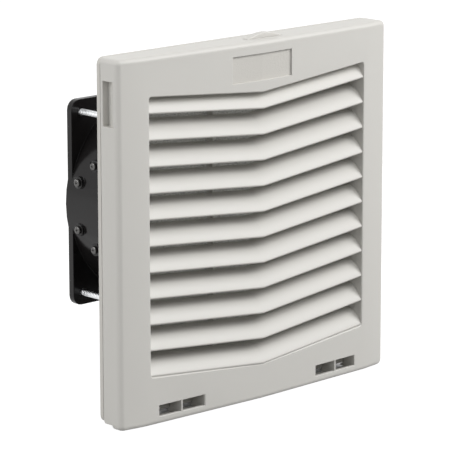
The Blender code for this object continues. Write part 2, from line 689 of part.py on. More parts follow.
def hinge_support_xs():
    """Spans of the supports beside the hooked plates, and of each rod."""
    outer = WINDOW_WIDTH + 1.5 * WINDOW_POST + GAP
    spans = []
    for side in (-1, 1):
        centre = side * WINDOW_PAIR_CENTRE_X
        spans.append((centre - outer - HINGE_SUPPORT_WIDTH, centre + outer + HINGE_SUPPORT_WIDTH))
    return spans


def cell_spans(inner_half):
    """Free spans between the bars of the support grid, from wall to wall."""
    count = round(2 * inner_half / GRID_CELL)
    step = 2 * inner_half / count
    spans = []
    for number in range(count):
        low = -inner_half + step * number
        first = GRID_BAR if number == 0 else GRID_BAR / 2
        last = GRID_BAR if number == count - 1 else GRID_BAR / 2
        spans.append((low + first, low + step - last))
    return spans


def make_base_frame(plastic):
    """Rim, box through the cut-out, support grid and hinge rods in one moulding."""
    rim_outline = rounded_rectangle(HALF_WIDTH, RIM_BOTTOM_Z, TOP_Z, RIM_CORNER_RADIUS, 4)
    base = add_object("base_frame", prism(rim_outline, "Y", -RIM_DEPTH, 0.0), plastic)
    body = add_object("box", prism(around_box(0.0, BOX_CORNER_RADIUS), "Y", -RIM_DEPTH / 2, BOX_DEPTH))
    combine(base, "UNION", [body])

    inner = around_box(-BOX_WALL, BOX_CORNER_RADIUS - BOX_WALL)
    cuts = [add_object("mat_space", prism(inner, "Y", -2 * RIM_DEPTH, GRID_FRONT_Y)),
            add_object("rear_space", prism(inner, "Y", GRID_REAR_Y, BOX_DEPTH + MM))]
    groove_inner = GASKET_FROM_BOX - GAP
    groove_outer = groove_inner + GASKET_WIDTH + 2 * GAP
    groove = add_object("groove", prism(around_box(groove_outer, BOX_CORNER_RADIUS),
                                        "Y", -GASKET_DEPTH - GAP, MM))
    island = add_object("island", prism(around_box(groove_inner, BOX_CORNER_RADIUS),
                                        "Y", -RIM_DEPTH, 2 * MM))
    combine(groove, "DIFFERENCE", [island])
    cuts.append(groove)
    combine(base, "DIFFERENCE", cuts)

    holes = []
    for x_range in cell_spans(BOX_INNER_X):
        for z_range in cell_spans(BOX_INNER_Z):
            holes.append(add_object("cell", box(x_range, (GRID_FRONT_Y - MM, GRID_REAR_Y + MM), z_range)))
    slot_half = CLIP_WIDTH / 2 + GAP
    for side in (-1, 1):
        for centre_z in (-CLIP_OFFSET_Z, CLIP_OFFSET_Z):
            x_range = sorted((side * (BOX_INNER_X - GAP), side * (BOX_HALF_X + MM)))
            holes.append(add_object("clip_slot", box(x_range, (CLIP_FRONT_Y - 2 * GAP, GRID_FRONT_Y - GAP),
                                                     (centre_z - slot_half, centre_z + slot_half))))
            pocket_x = sorted((side * (BOX_INNER_X + BOX_WALL / 2 - GAP), side * (BOX_HALF_X + MM)))
            holes.append(add_object("clip_pocket", box(pocket_x, (GRID_FRONT_Y - MM, CLIP_REAR_Y + GAP),
                                                       (centre_z - slot_half, centre_z + slot_half))))
    combine(base, "DIFFERENCE", holes)

    added = []
    for low, high in hinge_support_xs():
        for x_low in (low, high - HINGE_SUPPORT_WIDTH):
            root_y = -RIM_DEPTH + OVERLAP
            outline = [(root_y, HINGE_Z - HINGE_CLEAR_RADIUS), (HINGE_Y, HINGE_Z - HINGE_CLEAR_RADIUS),
                       (HINGE_Y - HINGE_CLEAR_RADIUS, HINGE_Z), (HINGE_Y, HINGE_Z + HINGE_CLEAR_RADIUS),
                       (root_y, HINGE_Z + 2.5 * HINGE_CLEAR_RADIUS)]
            added.append(add_object("support", prism(outline, "X", x_low,
                                                     x_low + HINGE_SUPPORT_WIDTH)))
        added.append(add_object("rod", cylinder(HINGE_ROD_RADIUS, "X", low + OVERLAP, high - OVERLAP,
                                                (HINGE_Y, HINGE_Z), 12)))
    for x_sign, z_sign in CORNER_SIGNS:
        added.append(make_corner_boss(x_sign, z_sign))
    combine(base, "UNION", added)

    bores = [add_object("bore", cylinder(SCREW_RADIUS - GAP, "Y", GRID_REAR_Y + MM, BOX_DEPTH + MM,
                                         (x_sign * SHROUD_SCREW_X, z_sign * SHROUD_SCREW_Z), 8))
             for x_sign, z_sign in CORNER_SIGNS]
    return combine(base, "DIFFERENCE", bores)


def make_corner_boss(x_sign, z_sign):
    """Corner block behind the grid, rounded towards the middle, that takes a shroud screw."""
    near_x = SHROUD_SCREW_X - SHROUD_BOSS_RADIUS
    near_z = SHROUD_SCREW_Z - SHROUD_BOSS_RADIUS
    far_x = BOX_INNER_X + OVERLAP
    far_z = BOX_INNER_Z + OVERLAP
    outline = rounded_corners([(far_x, near_z), (far_x, far_z), (near_x, far_z), (near_x, near_z)],
                              (3,), SHROUD_BOSS_RADIUS / 2)
    outline = [(x_sign * x, z_sign * z) for x, z in outline]
    return add_object("boss", prism(outline, "Y", GRID_FRONT_Y, BOX_DEPTH))


def make_panel_gasket(foam):
    """Foam frame in the groove of the rim, a little proud of the panel face."""
    outer = around_box(GASKET_FROM_BOX + GASKET_WIDTH, BOX_CORNER_RADIUS)
    gasket = add_object("panel_gasket", prism(outer, "Y", -GASKET_DEPTH, GASKET_PROUD), foam)
    middle = add_object("middle", prism(around_box(GASKET_FROM_BOX, BOX_CORNER_RADIUS),
                                        "Y", -2 * GASKET_DEPTH, 2 * MM))
    return combine(gasket, "DIFFERENCE", [middle])


def make_filter_mat(fibre):
    outline = around_box(-BOX_WALL - MM, BOX_CORNER_RADIUS - BOX_WALL)
    return add_object("filter_mat", prism(outline, "Y", MAT_FRONT_Y, MAT_FRONT_Y + MAT_THICKNESS), fibre)


def make_retaining_clips(spring_plastic):
    """Four sprung wedges that catch behind the panel."""
    names = {(-1, 1): "retaining_clip_left_top", (-1, -1): "retaining_clip_left_bottom",
             (1, 1): "retaining_clip_right_top", (1, -1): "retaining_clip_right_bottom"}
    root_x = BOX_HALF_X - BOX_WALL / 2
    tip_x = BOX_HALF_X + CLIP_REACH
    for (side, end), name in names.items():
        low = end * CLIP_OFFSET_Z - CLIP_WIDTH / 2
        root_front = CLIP_REAR_Y - CLIP_ROOT_LENGTH
        outline = [(root_x, CLIP_REAR_Y), (BOX_HALF_X, CLIP_REAR_Y), (tip_x, CLIP_FRONT_Y + MM),
                   (tip_x, CLIP_FRONT_Y), (tip_x - 1.6 * CLIP_THICKNESS, CLIP_FRONT_Y),
                   (BOX_HALF_X + CLIP_THICKNESS / 2, root_front - MM), (root_x, root_front - MM)]
        outline = [(side * x, y) for x, y in outline]
        clip = add_object(name, prism(outline, "Z", low, low + CLIP_WIDTH), spring_plastic)
        set_origin(clip, (side * (root_x + CLIP_THICKNESS / 2), root_front, end * CLIP_OFFSET_Z))


def rectangle_loop(x_half, z_half, radius, y, steps=5):
    return [(x, y, z) for x, z in rounded_rectangle(x_half, -z_half, z_half, radius, steps)]


def round_loop(radius, y, steps=5):
    """Circle with the same point order as a rounded rectangle."""
    loop = []
    for start in (0.0, 90.0, 180.0, 270.0):
        for step in range(steps + 1):
            inset = 90.0 / (steps + 1) / 2
            angle = math.radians(start + inset + (90.0 - 2 * inset) * step / steps)
            loop.append((radius * math.cos(angle), y, radius * math.sin(angle)))
    return loop


def make_fan_shroud(plastic):
    """Funnel from the box to the square fan, with a round intake in its end plate."""
    corner = BOX_CORNER_RADIUS
    seat_y = BOX_DEPTH + GAP
    lip_rear = seat_y + SHROUD_LIP
    plate_front = SHROUD_REAR_Y - SHROUD_PLATE
    lip_x = BOX_HALF_X - SHROUD_LIP_INSET
    lip_z = BOX_HALF_Z - SHROUD_LIP_INSET
    mouth_x = SHROUD_SCREW_X - SHROUD_BOSS_RADIUS - GAP
    mouth_z = SHROUD_SCREW_Z - SHROUD_BOSS_RADIUS - GAP
    end = SHROUD_END_HALF
    end_inside = SHROUD_END_HALF - SHROUD_WALL
    loops = [
        rectangle_loop(lip_x, lip_z, corner, seat_y),
        rectangle_loop(lip_x, lip_z, corner, lip_rear),
        rectangle_loop(mouth_x, mouth_z, corner, lip_rear),
        rectangle_loop(end, end, FAN_CORNER_RADIUS + 2 * MM, plate_front),
        rectangle_loop(end, end, FAN_CORNER_RADIUS + 2 * MM, SHROUD_REAR_Y),
        round_loop(SHROUD_INTAKE_RADIUS, SHROUD_REAR_Y),
        round_loop(SHROUD_INTAKE_RADIUS, plate_front),
        rectangle_loop(end_inside, end_inside, FAN_CORNER_RADIUS, plate_front),
        rectangle_loop(mouth_x - SHROUD_WALL, mouth_z - SHROUD_WALL, corner, seat_y),
    ]
    shroud = add_object("fan_shroud", loft(loops, closed=True), plastic)
    holes = []
    for x_sign, z_sign in CORNER_SIGNS:
        holes.append(add_object("hole", cylinder(FAN_HOLE_RADIUS, "Y", plate_front - MM, SHROUD_REAR_Y + MM,
                                                 (x_sign * HOLE_OFFSET, z_sign * HOLE_OFFSET), 12)))
        holes.append(add_object("hole", cylinder(FAN_HOLE_RADIUS, "Y", seat_y - MM, lip_rear + MM,
                                                 (x_sign * SHROUD_SCREW_X, z_sign * SHROUD_SCREW_Z), 12)))
    return combine(shroud, "DIFFERENCE", holes)


def make_fan_housing(black_metal):
    """Die-cast fan frame: two square flanges, round barrel, open corners and rear spider."""
    flange = rounded_rectangle(FAN_HALF, -FAN_HALF, FAN_HALF, FAN_CORNER_RADIUS, 4)
    barrel_steps = 48
    housing = add_object("fan_housing", cylinder(BARREL_OUTER_RADIUS, "Y", FAN_FRONT_Y, FAN_REAR_Y,
                                                 steps=barrel_steps), black_metal)
    plates = [add_object("flange", prism(flange, "Y", FAN_FRONT_Y, FAN_FRONT_Y + FAN_FLANGE)),
              add_object("flange", prism(flange, "Y", FAN_REAR_Y - FAN_FLANGE, FAN_REAR_Y))]
    for z, from_back in lug_places():
        y = FAN_REAR_Y - from_back
        face = -math.sqrt(BARREL_OUTER_RADIUS ** 2 - z ** 2)
        lug = cylinder(LUG_RADIUS, "X", face - LUG_PROUD, face + 3 * MM, (y, z), 12)
        plates.append(add_object("lug", lug))
    combine(housing, "UNION", plates)

    cuts = [add_object("bore", cylinder(BARREL_BORE_RADIUS, "Y", FAN_FRONT_Y - MM, FAN_REAR_Y + MM,
                                        steps=barrel_steps))]
    for x_sign, z_sign in CORNER_SIGNS:
        cuts.append(add_object("hole", cylinder(FAN_HOLE_RADIUS, "Y", FAN_FRONT_Y - MM, FAN_REAR_Y + MM,
                                                (x_sign * HOLE_OFFSET, z_sign * HOLE_OFFSET), 12)))
    for z, from_back in lug_places():
        face = -math.sqrt(BARREL_OUTER_RADIUS ** 2 - z ** 2)
        cuts.append(add_object("hole", cylinder(LUG_HOLE_RADIUS, "X", face - 2 * LUG_PROUD, face + 2 * MM,
                                                (FAN_REAR_Y - from_back, z), 8)))
    combine(housing, "DIFFERENCE", cuts)

    spider_front = FAN_REAR_Y - SPIDER_THICKNESS
    hub = add_object("hub", cylinder(SPIDER_HUB_RADIUS, "Y", spider_front, FAN_REAR_Y, steps=32))
    arms = []
    for number in range(2):
        reach = BARREL_BORE_RADIUS + 1.5 * MM
        arm = box((-reach, reach), (spider_front + GAP, FAN_REAR_Y - GAP),
                  (-SPIDER_ARM_WIDTH / 2, SPIDER_ARM_WIDTH / 2))
        turn = Matrix.Rotation(math.radians(45.0 + 90.0 * number), 4, "Y")
        bmesh.ops.transform(arm, matrix=turn, verts=arm.verts)
        arms.append(add_object("arm", arm))
    combine(hub, "UNION", arms)
    return smooth(combine(housing, "UNION", [hub]))


def lug_places():
    """Height and distance from the rear face of the four lugs on the barrel's left side."""
    return [(REAR_LUG_Z, REAR_LUG_FROM_BACK), (-REAR_LUG_Z, REAR_LUG_FROM_BACK),
            (FRONT_LUG_Z, FRONT_LUG_FROM_BACK), (-FRONT_LUG_Z, FRONT_LUG_FROM_BACK)]


def make_lug_screws(steel):
    names = ["lug_screw_rear_top", "lug_screw_rear_bottom", "lug_screw_front_top", "lug_screw_front_bottom"]
    for name, (z, from_back) in zip(names, lug_places()):
        face = -math.sqrt(BARREL_OUTER_RADIUS ** 2 - z ** 2) - LUG_PROUD
        centre = (FAN_REAR_Y - from_back, z)
        shank = add_object(name, cylinder(LUG_HOLE_RADIUS - GAP, "X", face - GAP - OVERLAP,
                                          face + 2.6 * MM, centre, 8), steel)
        head = add_object("head", cylinder(2.2 * MM, "X", face - 1.5 * MM, face - GAP, centre, 12))
        smooth(combine(shank, "UNION", [head]))


def make_motor(steel, black_steel, copper, iron):
    """Motor on the spider: base with bearing tube, wound core, bearings and shaft."""
    base_rear = MOTOR_BASE_REAR_Y
    base_front = MOTOR_BASE_FRONT_Y
    tube_inner = BEARING_RADIUS + GAP
    tube_outer = tube_inner + TUBE_WALL
    rotor_inside = ROTOR_FRONT_Y + ROTOR_WALL
    tube_front = rotor_inside + 1.6 * MM
    stop = BEARING_RADIUS - 1.6 * MM
    bearing_seat = tube_front + BEARING_WIDTH + 0.8 * MM
    rear_seat = base_rear - BEARING_WIDTH - 0.8 * MM
    base = turned([(SPIDER_HUB_RADIUS - 3 * MM, base_front), (SPIDER_HUB_RADIUS - 3 * MM, base_rear),
                   (tube_inner, base_rear), (tube_inner, rear_seat), (stop, rear_seat),
                   (stop, bearing_seat), (tube_inner, bearing_seat), (tube_inner, tube_front),
                   (tube_outer, tube_front), (tube_outer, base_front)], 24)
    smooth(add_object("motor_base", base, black_steel))

    core_middle = ROTOR_FRONT_Y + ROTOR_LENGTH / 2 + MM
    core_front = core_middle - ROTOR_LENGTH / 2 + COIL_ROOM
    core_rear = core_middle + ROTOR_LENGTH / 2 - COIL_ROOM
    core_inner = tube_outer + GAP
    smooth(add_object("stator_core", ring(core_inner, CORE_RADIUS, core_front, core_rear, 24), iron))
    wound_inner = core_inner + MM
    wound_outer = CORE_RADIUS - 2 * MM
    smooth(add_object("winding_front", ring(wound_inner, wound_outer, rotor_inside + MM,
                                            core_front - GAP, 20), copper))
    smooth(add_object("winding_rear", ring(wound_inner, wound_outer, core_rear + GAP,
                                           base_front - GAP, 20), copper))

    bearing_inner = SHAFT_RADIUS + GAP
    front_bearing = ring(bearing_inner, BEARING_RADIUS, bearing_seat - GAP - BEARING_WIDTH,
                         bearing_seat - GAP, 20)
    rear_bearing = ring(bearing_inner, BEARING_RADIUS, rear_seat + GAP,
                        rear_seat + GAP + BEARING_WIDTH, 20)
    smooth(add_object("bearing_front", front_bearing, steel))
    smooth(add_object("bearing_rear", rear_bearing, steel))


def make_rotor(black_steel, steel, iron, impeller_plastic):
    """Rotor cup, iron ring, shaft and bladed impeller, which turn together."""
    rotor_rear = ROTOR_REAR_Y
    cup_inside = ROTOR_FRONT_Y + ROTOR_WALL
    cup_inner = ROTOR_RADIUS - ROTOR_WALL
    bore = SHAFT_RADIUS + GAP
    edge = 1.2 * MM
    cup = turned([(bore, ROTOR_FRONT_Y), (ROTOR_RADIUS - edge, ROTOR_FRONT_Y),
                  (ROTOR_RADIUS, ROTOR_FRONT_Y + edge), (ROTOR_RADIUS, rotor_rear),
                  (cup_inner, rotor_rear), (cup_inner, cup_inside), (bore, cup_inside)], 32)
    parts = [smooth(add_object("rotor_cup", cup, black_steel))]

    ring_outer = cup_inner - GAP
    iron_ring = ring(ring_outer - ROTOR_RING_WALL, ring_outer, cup_inside + 4 * MM, rotor_rear - MM, 32)
    parts.append(smooth(add_object("rotor_ring", iron_ring, iron)))

    shaft_end = FAN_REAR_Y - SPIDER_THICKNESS - 2 * GAP
    groove_y = shaft_end - 1.6 * MM
    groove_depth = 0.5 * MM
    clip_width = 0.8 * MM
    shaft = turned([(0.0, ROTOR_FRONT_Y - MM), (SHAFT_RADIUS, ROTOR_FRONT_Y - MM),
                    (SHAFT_RADIUS, groove_y), (SHAFT_RADIUS - groove_depth, groove_y),
                    (SHAFT_RADIUS - groove_depth, groove_y + clip_width + GAP),
                    (SHAFT_RADIUS, groove_y + clip_width + GAP),
                    (SHAFT_RADIUS, shaft_end), (0.0, shaft_end)], 16)
    parts.append(smooth(add_object("shaft", shaft, steel)))

    hub_inner = ROTOR_RADIUS + GAP
    hub_outer = hub_inner + HUB_WALL
    hub_front = ROTOR_FRONT_Y + edge
    impeller = add_object("impeller", ring(hub_inner, hub_outer, hub_front, rotor_rear - MM, 35),
                          impeller_plastic)
    blades = [make_blade(2 * math.pi * number / BLADE_COUNT, hub_outer) for number in range(BLADE_COUNT)]
    combine(impeller, "UNION", blades)
    parts.append(smooth(impeller, 50.0))
    for part in parts:
        set_origin(part, (0.0, ROTOR_FRONT_Y, 0.0))


def make_blade(start_angle, hub_outer):
    """One swept, cambered blade, lofted from the hub to its tip."""
    root = hub_outer - HUB_WALL / 2
    tip = BARREL_BORE_RADIUS - BLADE_TIP_CLEARANCE
    blade_front = ROTOR_FRONT_Y + BLADE_MARGIN
    length = ROTOR_LENGTH - 2 * BLADE_MARGIN
    rows = 4
    steps = 5
    loops = []
    for row in range(rows):
        share = row / (rows - 1)
        radius = root + (tip - root) * share
        wrap = BLADE_ROOT_TWIST + (BLADE_TIP_TWIST - BLADE_ROOT_TWIST) * share
        lean = start_angle + BLADE_SWEEP * share ** 2
        face = []
        back = []
        for step in range(steps + 1):
            along = step / steps
            thick = BLADE_THICKNESS * (0.35 + 0.65 * math.sin(math.pi * along) ** 0.5) * (1 - 0.3 * share)
            y = blade_front + length * along
            angle = lean + wrap * (along - 0.5) + 0.12 * math.sin(math.pi * along)
            for points, sign in ((face, 1), (back, -1)):
                turn = angle + sign * thick / (2 * radius)
                points.append((radius * math.cos(turn), y, radius * math.sin(turn)))
        loops.append(face + back[::-1])
    return add_object("blade", loft(loops, closed=False, strip_caps=True))


def make_fan_screws(steel):
    """Four long screws through the open corners, with a nut on each behind the end plate."""
    head_seat = FAN_REAR_Y + 2 * GUARD_WIRE_RADIUS + 2 * GAP
    nut_rear = SHROUD_REAR_Y - SHROUD_PLATE - GAP
    nut_front = nut_rear - NUT_HEIGHT
    for number, (x_sign, z_sign) in enumerate(CORNER_SIGNS, start=1):
        centre = (x_sign * HOLE_OFFSET, z_sign * HOLE_OFFSET)
        screw = add_object(f"fan_screw_{number}",
                           cylinder(SCREW_RADIUS, "Y", nut_front - MM, head_seat + MM, centre, 12), steel)
        head = add_object("head", cylinder(SCREW_HEAD_RADIUS, "Y", head_seat,
                                           head_seat + SCREW_HEAD_HEIGHT, centre, 16))
        smooth(combine(screw, "UNION", [head]))
        nut = add_object(f"fan_nut_{number}",
                         cylinder(NUT_RADIUS, "Y", nut_front, nut_rear, centre, 6), steel)
        bore = cylinder(SCREW_RADIUS + GAP, "Y", nut_front - MM, nut_rear + MM, centre, 12)
        combine(nut, "DIFFERENCE", [add_object("bore", bore)])


def make_shroud_screws(steel):
    lip_rear = BOX_DEPTH + GAP + SHROUD_LIP
    for number, (x_sign, z_sign) in enumerate(CORNER_SIGNS, start=1):
        centre = (x_sign * SHROUD_SCREW_X, z_sign * SHROUD_SCREW_Z)
        screw = add_object(f"shroud_screw_{number}",
                           cylinder(SCREW_RADIUS - 2 * GAP, "Y", GRID_REAR_Y + 1.4 * MM,
                                    lip_rear + MM, centre, 8), steel)
        head = add_object("head", cylinder(SCREW_HEAD_RADIUS - MM, "Y", lip_rear + GAP,
                                           lip_rear + GAP + 2 * MM, centre, 12))
        smooth(combine(screw, "UNION", [head]))


def wire(points, radius, cyclic):
    """Round wire along the points, as a mesh object."""
    curve = bpy.data.curves.new("wire", "CURVE")
    curve.dimensions = "3D"
    curve.bevel_depth = radius
    curve.bevel_resolution = 1
    curve.use_fill_caps = True
    spline = curve.splines.new("POLY")
    spline.points.add(len(points) - 1)
    for place, point in zip(spline.points, points):
        place.co = (*point, 1.0)
    spline.use_cyclic_u = cyclic
    holder = bpy.data.objects.new("wire", curve)
    bpy.context.collection.objects.link(holder)
    depsgraph = bpy.context.evaluated_depsgraph_get()
    mesh = bpy.data.meshes.new_from_object(holder.evaluated_get(depsgraph))
    bpy.data.objects.remove(holder, do_unlink=True)
    obj = bpy.data.objects.new("wire", mesh)
    bpy.context.collection.objects.link(obj)
    return obj


def make_finger_guard(chromed):
    """Rings of wire welded to four legs, with an eye under each fan screw."""
    flat_y = FAN_REAR_Y + GUARD_WIRE_RADIUS + GAP
    ring_y = GUARD_Y + GUARD_WIRE_RADIUS * 1.4
    eye_radius = FAN_HOLE_RADIUS + GUARD_WIRE_RADIUS
    diagonal = HOLE_OFFSET * math.sqrt(2)
    parts = []
    for number in range(4):
        angle = math.radians(45.0 + 90.0 * number)
        across = (math.cos(angle), math.sin(angle))
        stations = [(GUARD_FIRST_RING - 2 * MM, GUARD_Y), (GUARD_LAST_RING + 3 * MM, GUARD_Y),
                    (diagonal - eye_radius - 4 * MM, flat_y), (diagonal - eye_radius + 0.5 * MM, flat_y)]
        legs = [(radius * across[0], y, radius * across[1]) for radius, y in stations]
        parts.append(wire(legs, GUARD_WIRE_RADIUS, False))
        centre = (diagonal * across[0], diagonal * across[1])
        eye = [(x, flat_y, z) for x, z in circle(eye_radius, 12, centre, angle)]
        parts.append(wire(eye, GUARD_WIRE_RADIUS, True))
    for number in range(GUARD_RING_COUNT):
        radius = GUARD_FIRST_RING + GUARD_RING_STEP * number
        steps = 12 + int(radius / MM / 10) * 4
        hoop = [(x, ring_y, z) for x, z in circle(radius, steps)]
        parts.append(wire(hoop, GUARD_WIRE_RADIUS, True))
    guard = parts.pop()
    guard.name = "finger_guard"
    guard.data.materials.clear()
    guard.data.materials.append(chromed)
    return smooth(combine(guard, "UNION", parts))


def make_terminals(black_plastic, steel):
    """Two flat blades in an insulating block on the right side of the barrel."""
    y_middle = (FAN_FRONT_Y + FAN_REAR_Y) / 2
    inner_x = BARREL_OUTER_RADIUS + GAP
    thickness = 3.0 * MM
    block = add_object("terminal_block", box((inner_x, inner_x + thickness),
                                             (y_middle - TERMINAL_DEPTH / 2, y_middle + TERMINAL_DEPTH / 2),
                                             (-TERMINAL_WIDTH / 2, TERMINAL_WIDTH / 2)), black_plastic)
    blade_half = (0.25 * MM, 1.4 * MM)
    slots = []
    for number, z in enumerate((-TERMINAL_WIDTH / 4, TERMINAL_WIDTH / 4), start=1):
        z_range = (z - blade_half[0], z + blade_half[0])
        y_range = (y_middle - blade_half[1], y_middle + blade_half[1])
        add_object(f"terminal_blade_{number}", box((inner_x + MM, inner_x + thickness + 6 * MM),
                                                   y_range, z_range), steel)
        slot_z = (z_range[0] - GAP, z_range[1] + GAP)
        slot_y = (y_range[0] - GAP, y_range[1] + GAP)
        slots.append(add_object("slot", box((inner_x + MM - GAP, inner_x + 2 * thickness), slot_y, slot_z)))
    combine(block, "DIFFERENCE", slots)


def build():
    clear_scene()
    light_grey = make_material("light_grey_plastic", (0.62, 0.61, 0.58), 0.5)
    black_cast = make_material("black_cast_metal", (0.03, 0.03, 0.03), 0.45, 0.3)
    black_plastic = make_material("black_plastic", (0.02, 0.02, 0.02), 0.5)
    black_steel = make_material("blackened_steel", (0.05, 0.05, 0.05), 0.4, 0.8)
    zinc = make_material("zinc_plated_steel", (0.7, 0.7, 0.7), 0.3, 1.0)
    chromed = make_material("chromed_wire", (0.75, 0.75, 0.75), 0.2, 1.0)
    copper = make_material("copper_winding", (0.6, 0.25, 0.1), 0.4, 0.9)
    iron = make_material("laminated_iron", (0.35, 0.35, 0.36), 0.5, 0.9)
    foam = make_material("grey_foam", (0.12, 0.12, 0.12), 0.95)
    fibre = make_material("white_filter_fibre", (0.85, 0.85, 0.82), 0.95)

    make_front_grille(light_grey)
    make_cover_latch(light_grey)
    make_base_frame(light_grey)
    make_panel_gasket(foam)
    make_filter_mat(fibre)
    make_retaining_clips(light_grey)
    make_fan_shroud(light_grey)
    make_fan_housing(black_cast)
    make_lug_screws(black_steel)
    make_motor(zinc, black_steel, copper, iron)
    make_rotor(black_steel, zinc, iron, black_plastic)
    make_fan_screws(zinc)
    make_shroud_screws(zinc)
    make_finger_guard(chromed)
    make_terminals(black_plastic, zinc)


build()
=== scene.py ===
"""Looks of the cabinet filter fan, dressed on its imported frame, lit and seen as in the photograph."""

import json
import math
import random

import bpy
from mathutils import Matrix, Vector


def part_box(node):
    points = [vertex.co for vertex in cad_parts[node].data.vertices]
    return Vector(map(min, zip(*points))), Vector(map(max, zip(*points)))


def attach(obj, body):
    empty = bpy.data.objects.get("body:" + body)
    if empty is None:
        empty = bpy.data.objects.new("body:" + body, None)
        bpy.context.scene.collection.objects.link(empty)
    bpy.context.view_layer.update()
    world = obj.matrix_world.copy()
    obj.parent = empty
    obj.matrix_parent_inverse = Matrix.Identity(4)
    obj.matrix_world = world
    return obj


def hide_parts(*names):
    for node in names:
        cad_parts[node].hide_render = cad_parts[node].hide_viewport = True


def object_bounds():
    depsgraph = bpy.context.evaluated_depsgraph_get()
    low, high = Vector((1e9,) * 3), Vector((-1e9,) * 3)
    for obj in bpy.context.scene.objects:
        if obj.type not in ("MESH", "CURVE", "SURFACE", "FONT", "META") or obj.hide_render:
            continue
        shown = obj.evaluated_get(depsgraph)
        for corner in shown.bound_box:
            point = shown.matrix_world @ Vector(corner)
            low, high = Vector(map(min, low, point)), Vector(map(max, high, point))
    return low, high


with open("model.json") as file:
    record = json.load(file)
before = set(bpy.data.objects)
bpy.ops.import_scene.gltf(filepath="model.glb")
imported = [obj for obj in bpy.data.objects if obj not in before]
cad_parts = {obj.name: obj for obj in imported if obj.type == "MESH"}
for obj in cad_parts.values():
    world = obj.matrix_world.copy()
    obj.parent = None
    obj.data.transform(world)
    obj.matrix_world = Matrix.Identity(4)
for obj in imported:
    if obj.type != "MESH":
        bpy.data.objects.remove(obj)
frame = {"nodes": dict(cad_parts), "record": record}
cad_box = [list(corner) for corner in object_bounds()]
bpy.ops.object.select_all(action="DESELECT")

MM = 0.001


# Louvred cover
# One injection moulding in light grey ABS with a fine spark-eroded skin. It
# hooks over the two rods of the base frame and its slats keep rain and hands out.


def group_tree(name, inputs, outputs):
    """Shader node group with named sockets, and its input and output nodes."""
    tree = bpy.data.node_groups.new(name, "ShaderNodeTree")
    for label, kind, value in inputs:
        socket = tree.interface.new_socket(label, in_out="INPUT", socket_type=kind)
        socket.default_value = value
    for label, kind in outputs:
        tree.interface.new_socket(label, in_out="OUTPUT", socket_type=kind)
    start = tree.nodes.new("NodeGroupInput")
    end = tree.nodes.new("NodeGroupOutput")
    return tree, start, end


def math_node(tree, operation, first, second):
    """Math node on two sockets or numbers."""
    node = tree.nodes.new("ShaderNodeMath")
    node.operation = operation
    for place, value in enumerate((first, second)):
        if isinstance(value, (int, float)):
            node.inputs[place].default_value = value
        else:
            tree.links.new(value, node.inputs[place])
    return node.outputs[0]


def noise_node(tree, vector, scale, detail):
    """Noise on object coordinates; scale is a socket or a number per metre."""
    node = tree.nodes.new("ShaderNodeTexNoise")
    tree.links.new(vector, node.inputs["Vector"])
    if isinstance(scale, (int, float)):
        node.inputs["Scale"].default_value = scale
    else:
        tree.links.new(scale, node.inputs["Scale"])
    node.inputs["Detail"].default_value = detail
    return node.outputs["Fac"]


def tinted(tree, colour, level):
    """Colour socket scaled by a level that changes over the surface."""
    tint = tree.nodes.new("ShaderNodeVectorMath")
    tint.operation = "SCALE"
    tree.links.new(colour, tint.inputs[0])
    tree.links.new(level, tint.inputs["Scale"])
    return tint.outputs[0]


def moulded_skin_group():
    """Moulded or painted skin: faint cloudy tone, fine grain and a roughness that wanders."""
    tree, start, end = group_tree(
        "moulded_skin",
        [("Colour", "NodeSocketColor", (0.6, 0.6, 0.6, 1.0)), ("Clouding", "NodeSocketFloat", 0.03),
         ("Grain per metre", "NodeSocketFloat", 2600.0), ("Roughness", "NodeSocketFloat", 0.45),
         ("Roughness spread", "NodeSocketFloat", 0.06)],
        [("Colour", "NodeSocketColor"), ("Roughness", "NodeSocketFloat"), ("Height", "NodeSocketFloat")])
    place = tree.nodes.new("ShaderNodeTexCoord").outputs["Object"]
    cloud = noise_node(tree, place, 22.0, 4.0)
    swing = math_node(tree, "MULTIPLY", math_node(tree, "SUBTRACT", cloud, 0.5),
                      start.outputs["Clouding"])
    tree.links.new(tinted(tree, start.outputs["Colour"], math_node(tree, "ADD", swing, 1.0)),
                   end.inputs["Colour"])
    grain = noise_node(tree, place, start.outputs["Grain per metre"], 3.0)
    wander = math_node(tree, "MULTIPLY", math_node(tree, "SUBTRACT", grain, 0.5),
                       start.outputs["Roughness spread"])
    tree.links.new(math_node(tree, "ADD", start.outputs["Roughness"], wander), end.inputs["Roughness"])
    tree.links.new(grain, end.inputs["Height"])
    return tree


moulded_skin = moulded_skin_group()


def skinned_material(name, group, values, bump, soft_edge=0.0, **shader_values):
    """Principled material whose colour, roughness and relief come from a surface group."""
    material = bpy.data.materials.new(name)
    material.use_nodes = True
    tree = material.node_tree
    shader = tree.nodes["Principled BSDF"]
    for label, value in shader_values.items():
        shader.inputs[label.replace("_", " ")].default_value = value
    skin = tree.nodes.new("ShaderNodeGroup")
    skin.node_tree = group
    for label, value in values.items():
        skin.inputs[label].default_value = value
    tree.links.new(skin.outputs["Colour"], shader.inputs["Base Color"])
    tree.links.new(skin.outputs["Roughness"], shader.inputs["Roughness"])
    relief = tree.nodes.new("ShaderNodeBump")
    relief.inputs["Distance"].default_value = bump
    tree.links.new(skin.outputs["Height"], relief.inputs["Height"])
    if soft_edge:
        rounding = tree.nodes.new("ShaderNodeBevel")
        rounding.samples = 6
        rounding.inputs["Radius"].default_value = soft_edge
        tree.links.new(rounding.outputs["Normal"], relief.inputs["Normal"])
    tree.links.new(relief.outputs["Normal"], shader.inputs["Normal"])
    return material


def only(piece):
    """Select this piece alone and make it active."""
    bpy.ops.object.select_all(action="DESELECT")
    piece.select_set(True)
    bpy.context.view_layer.objects.active = piece


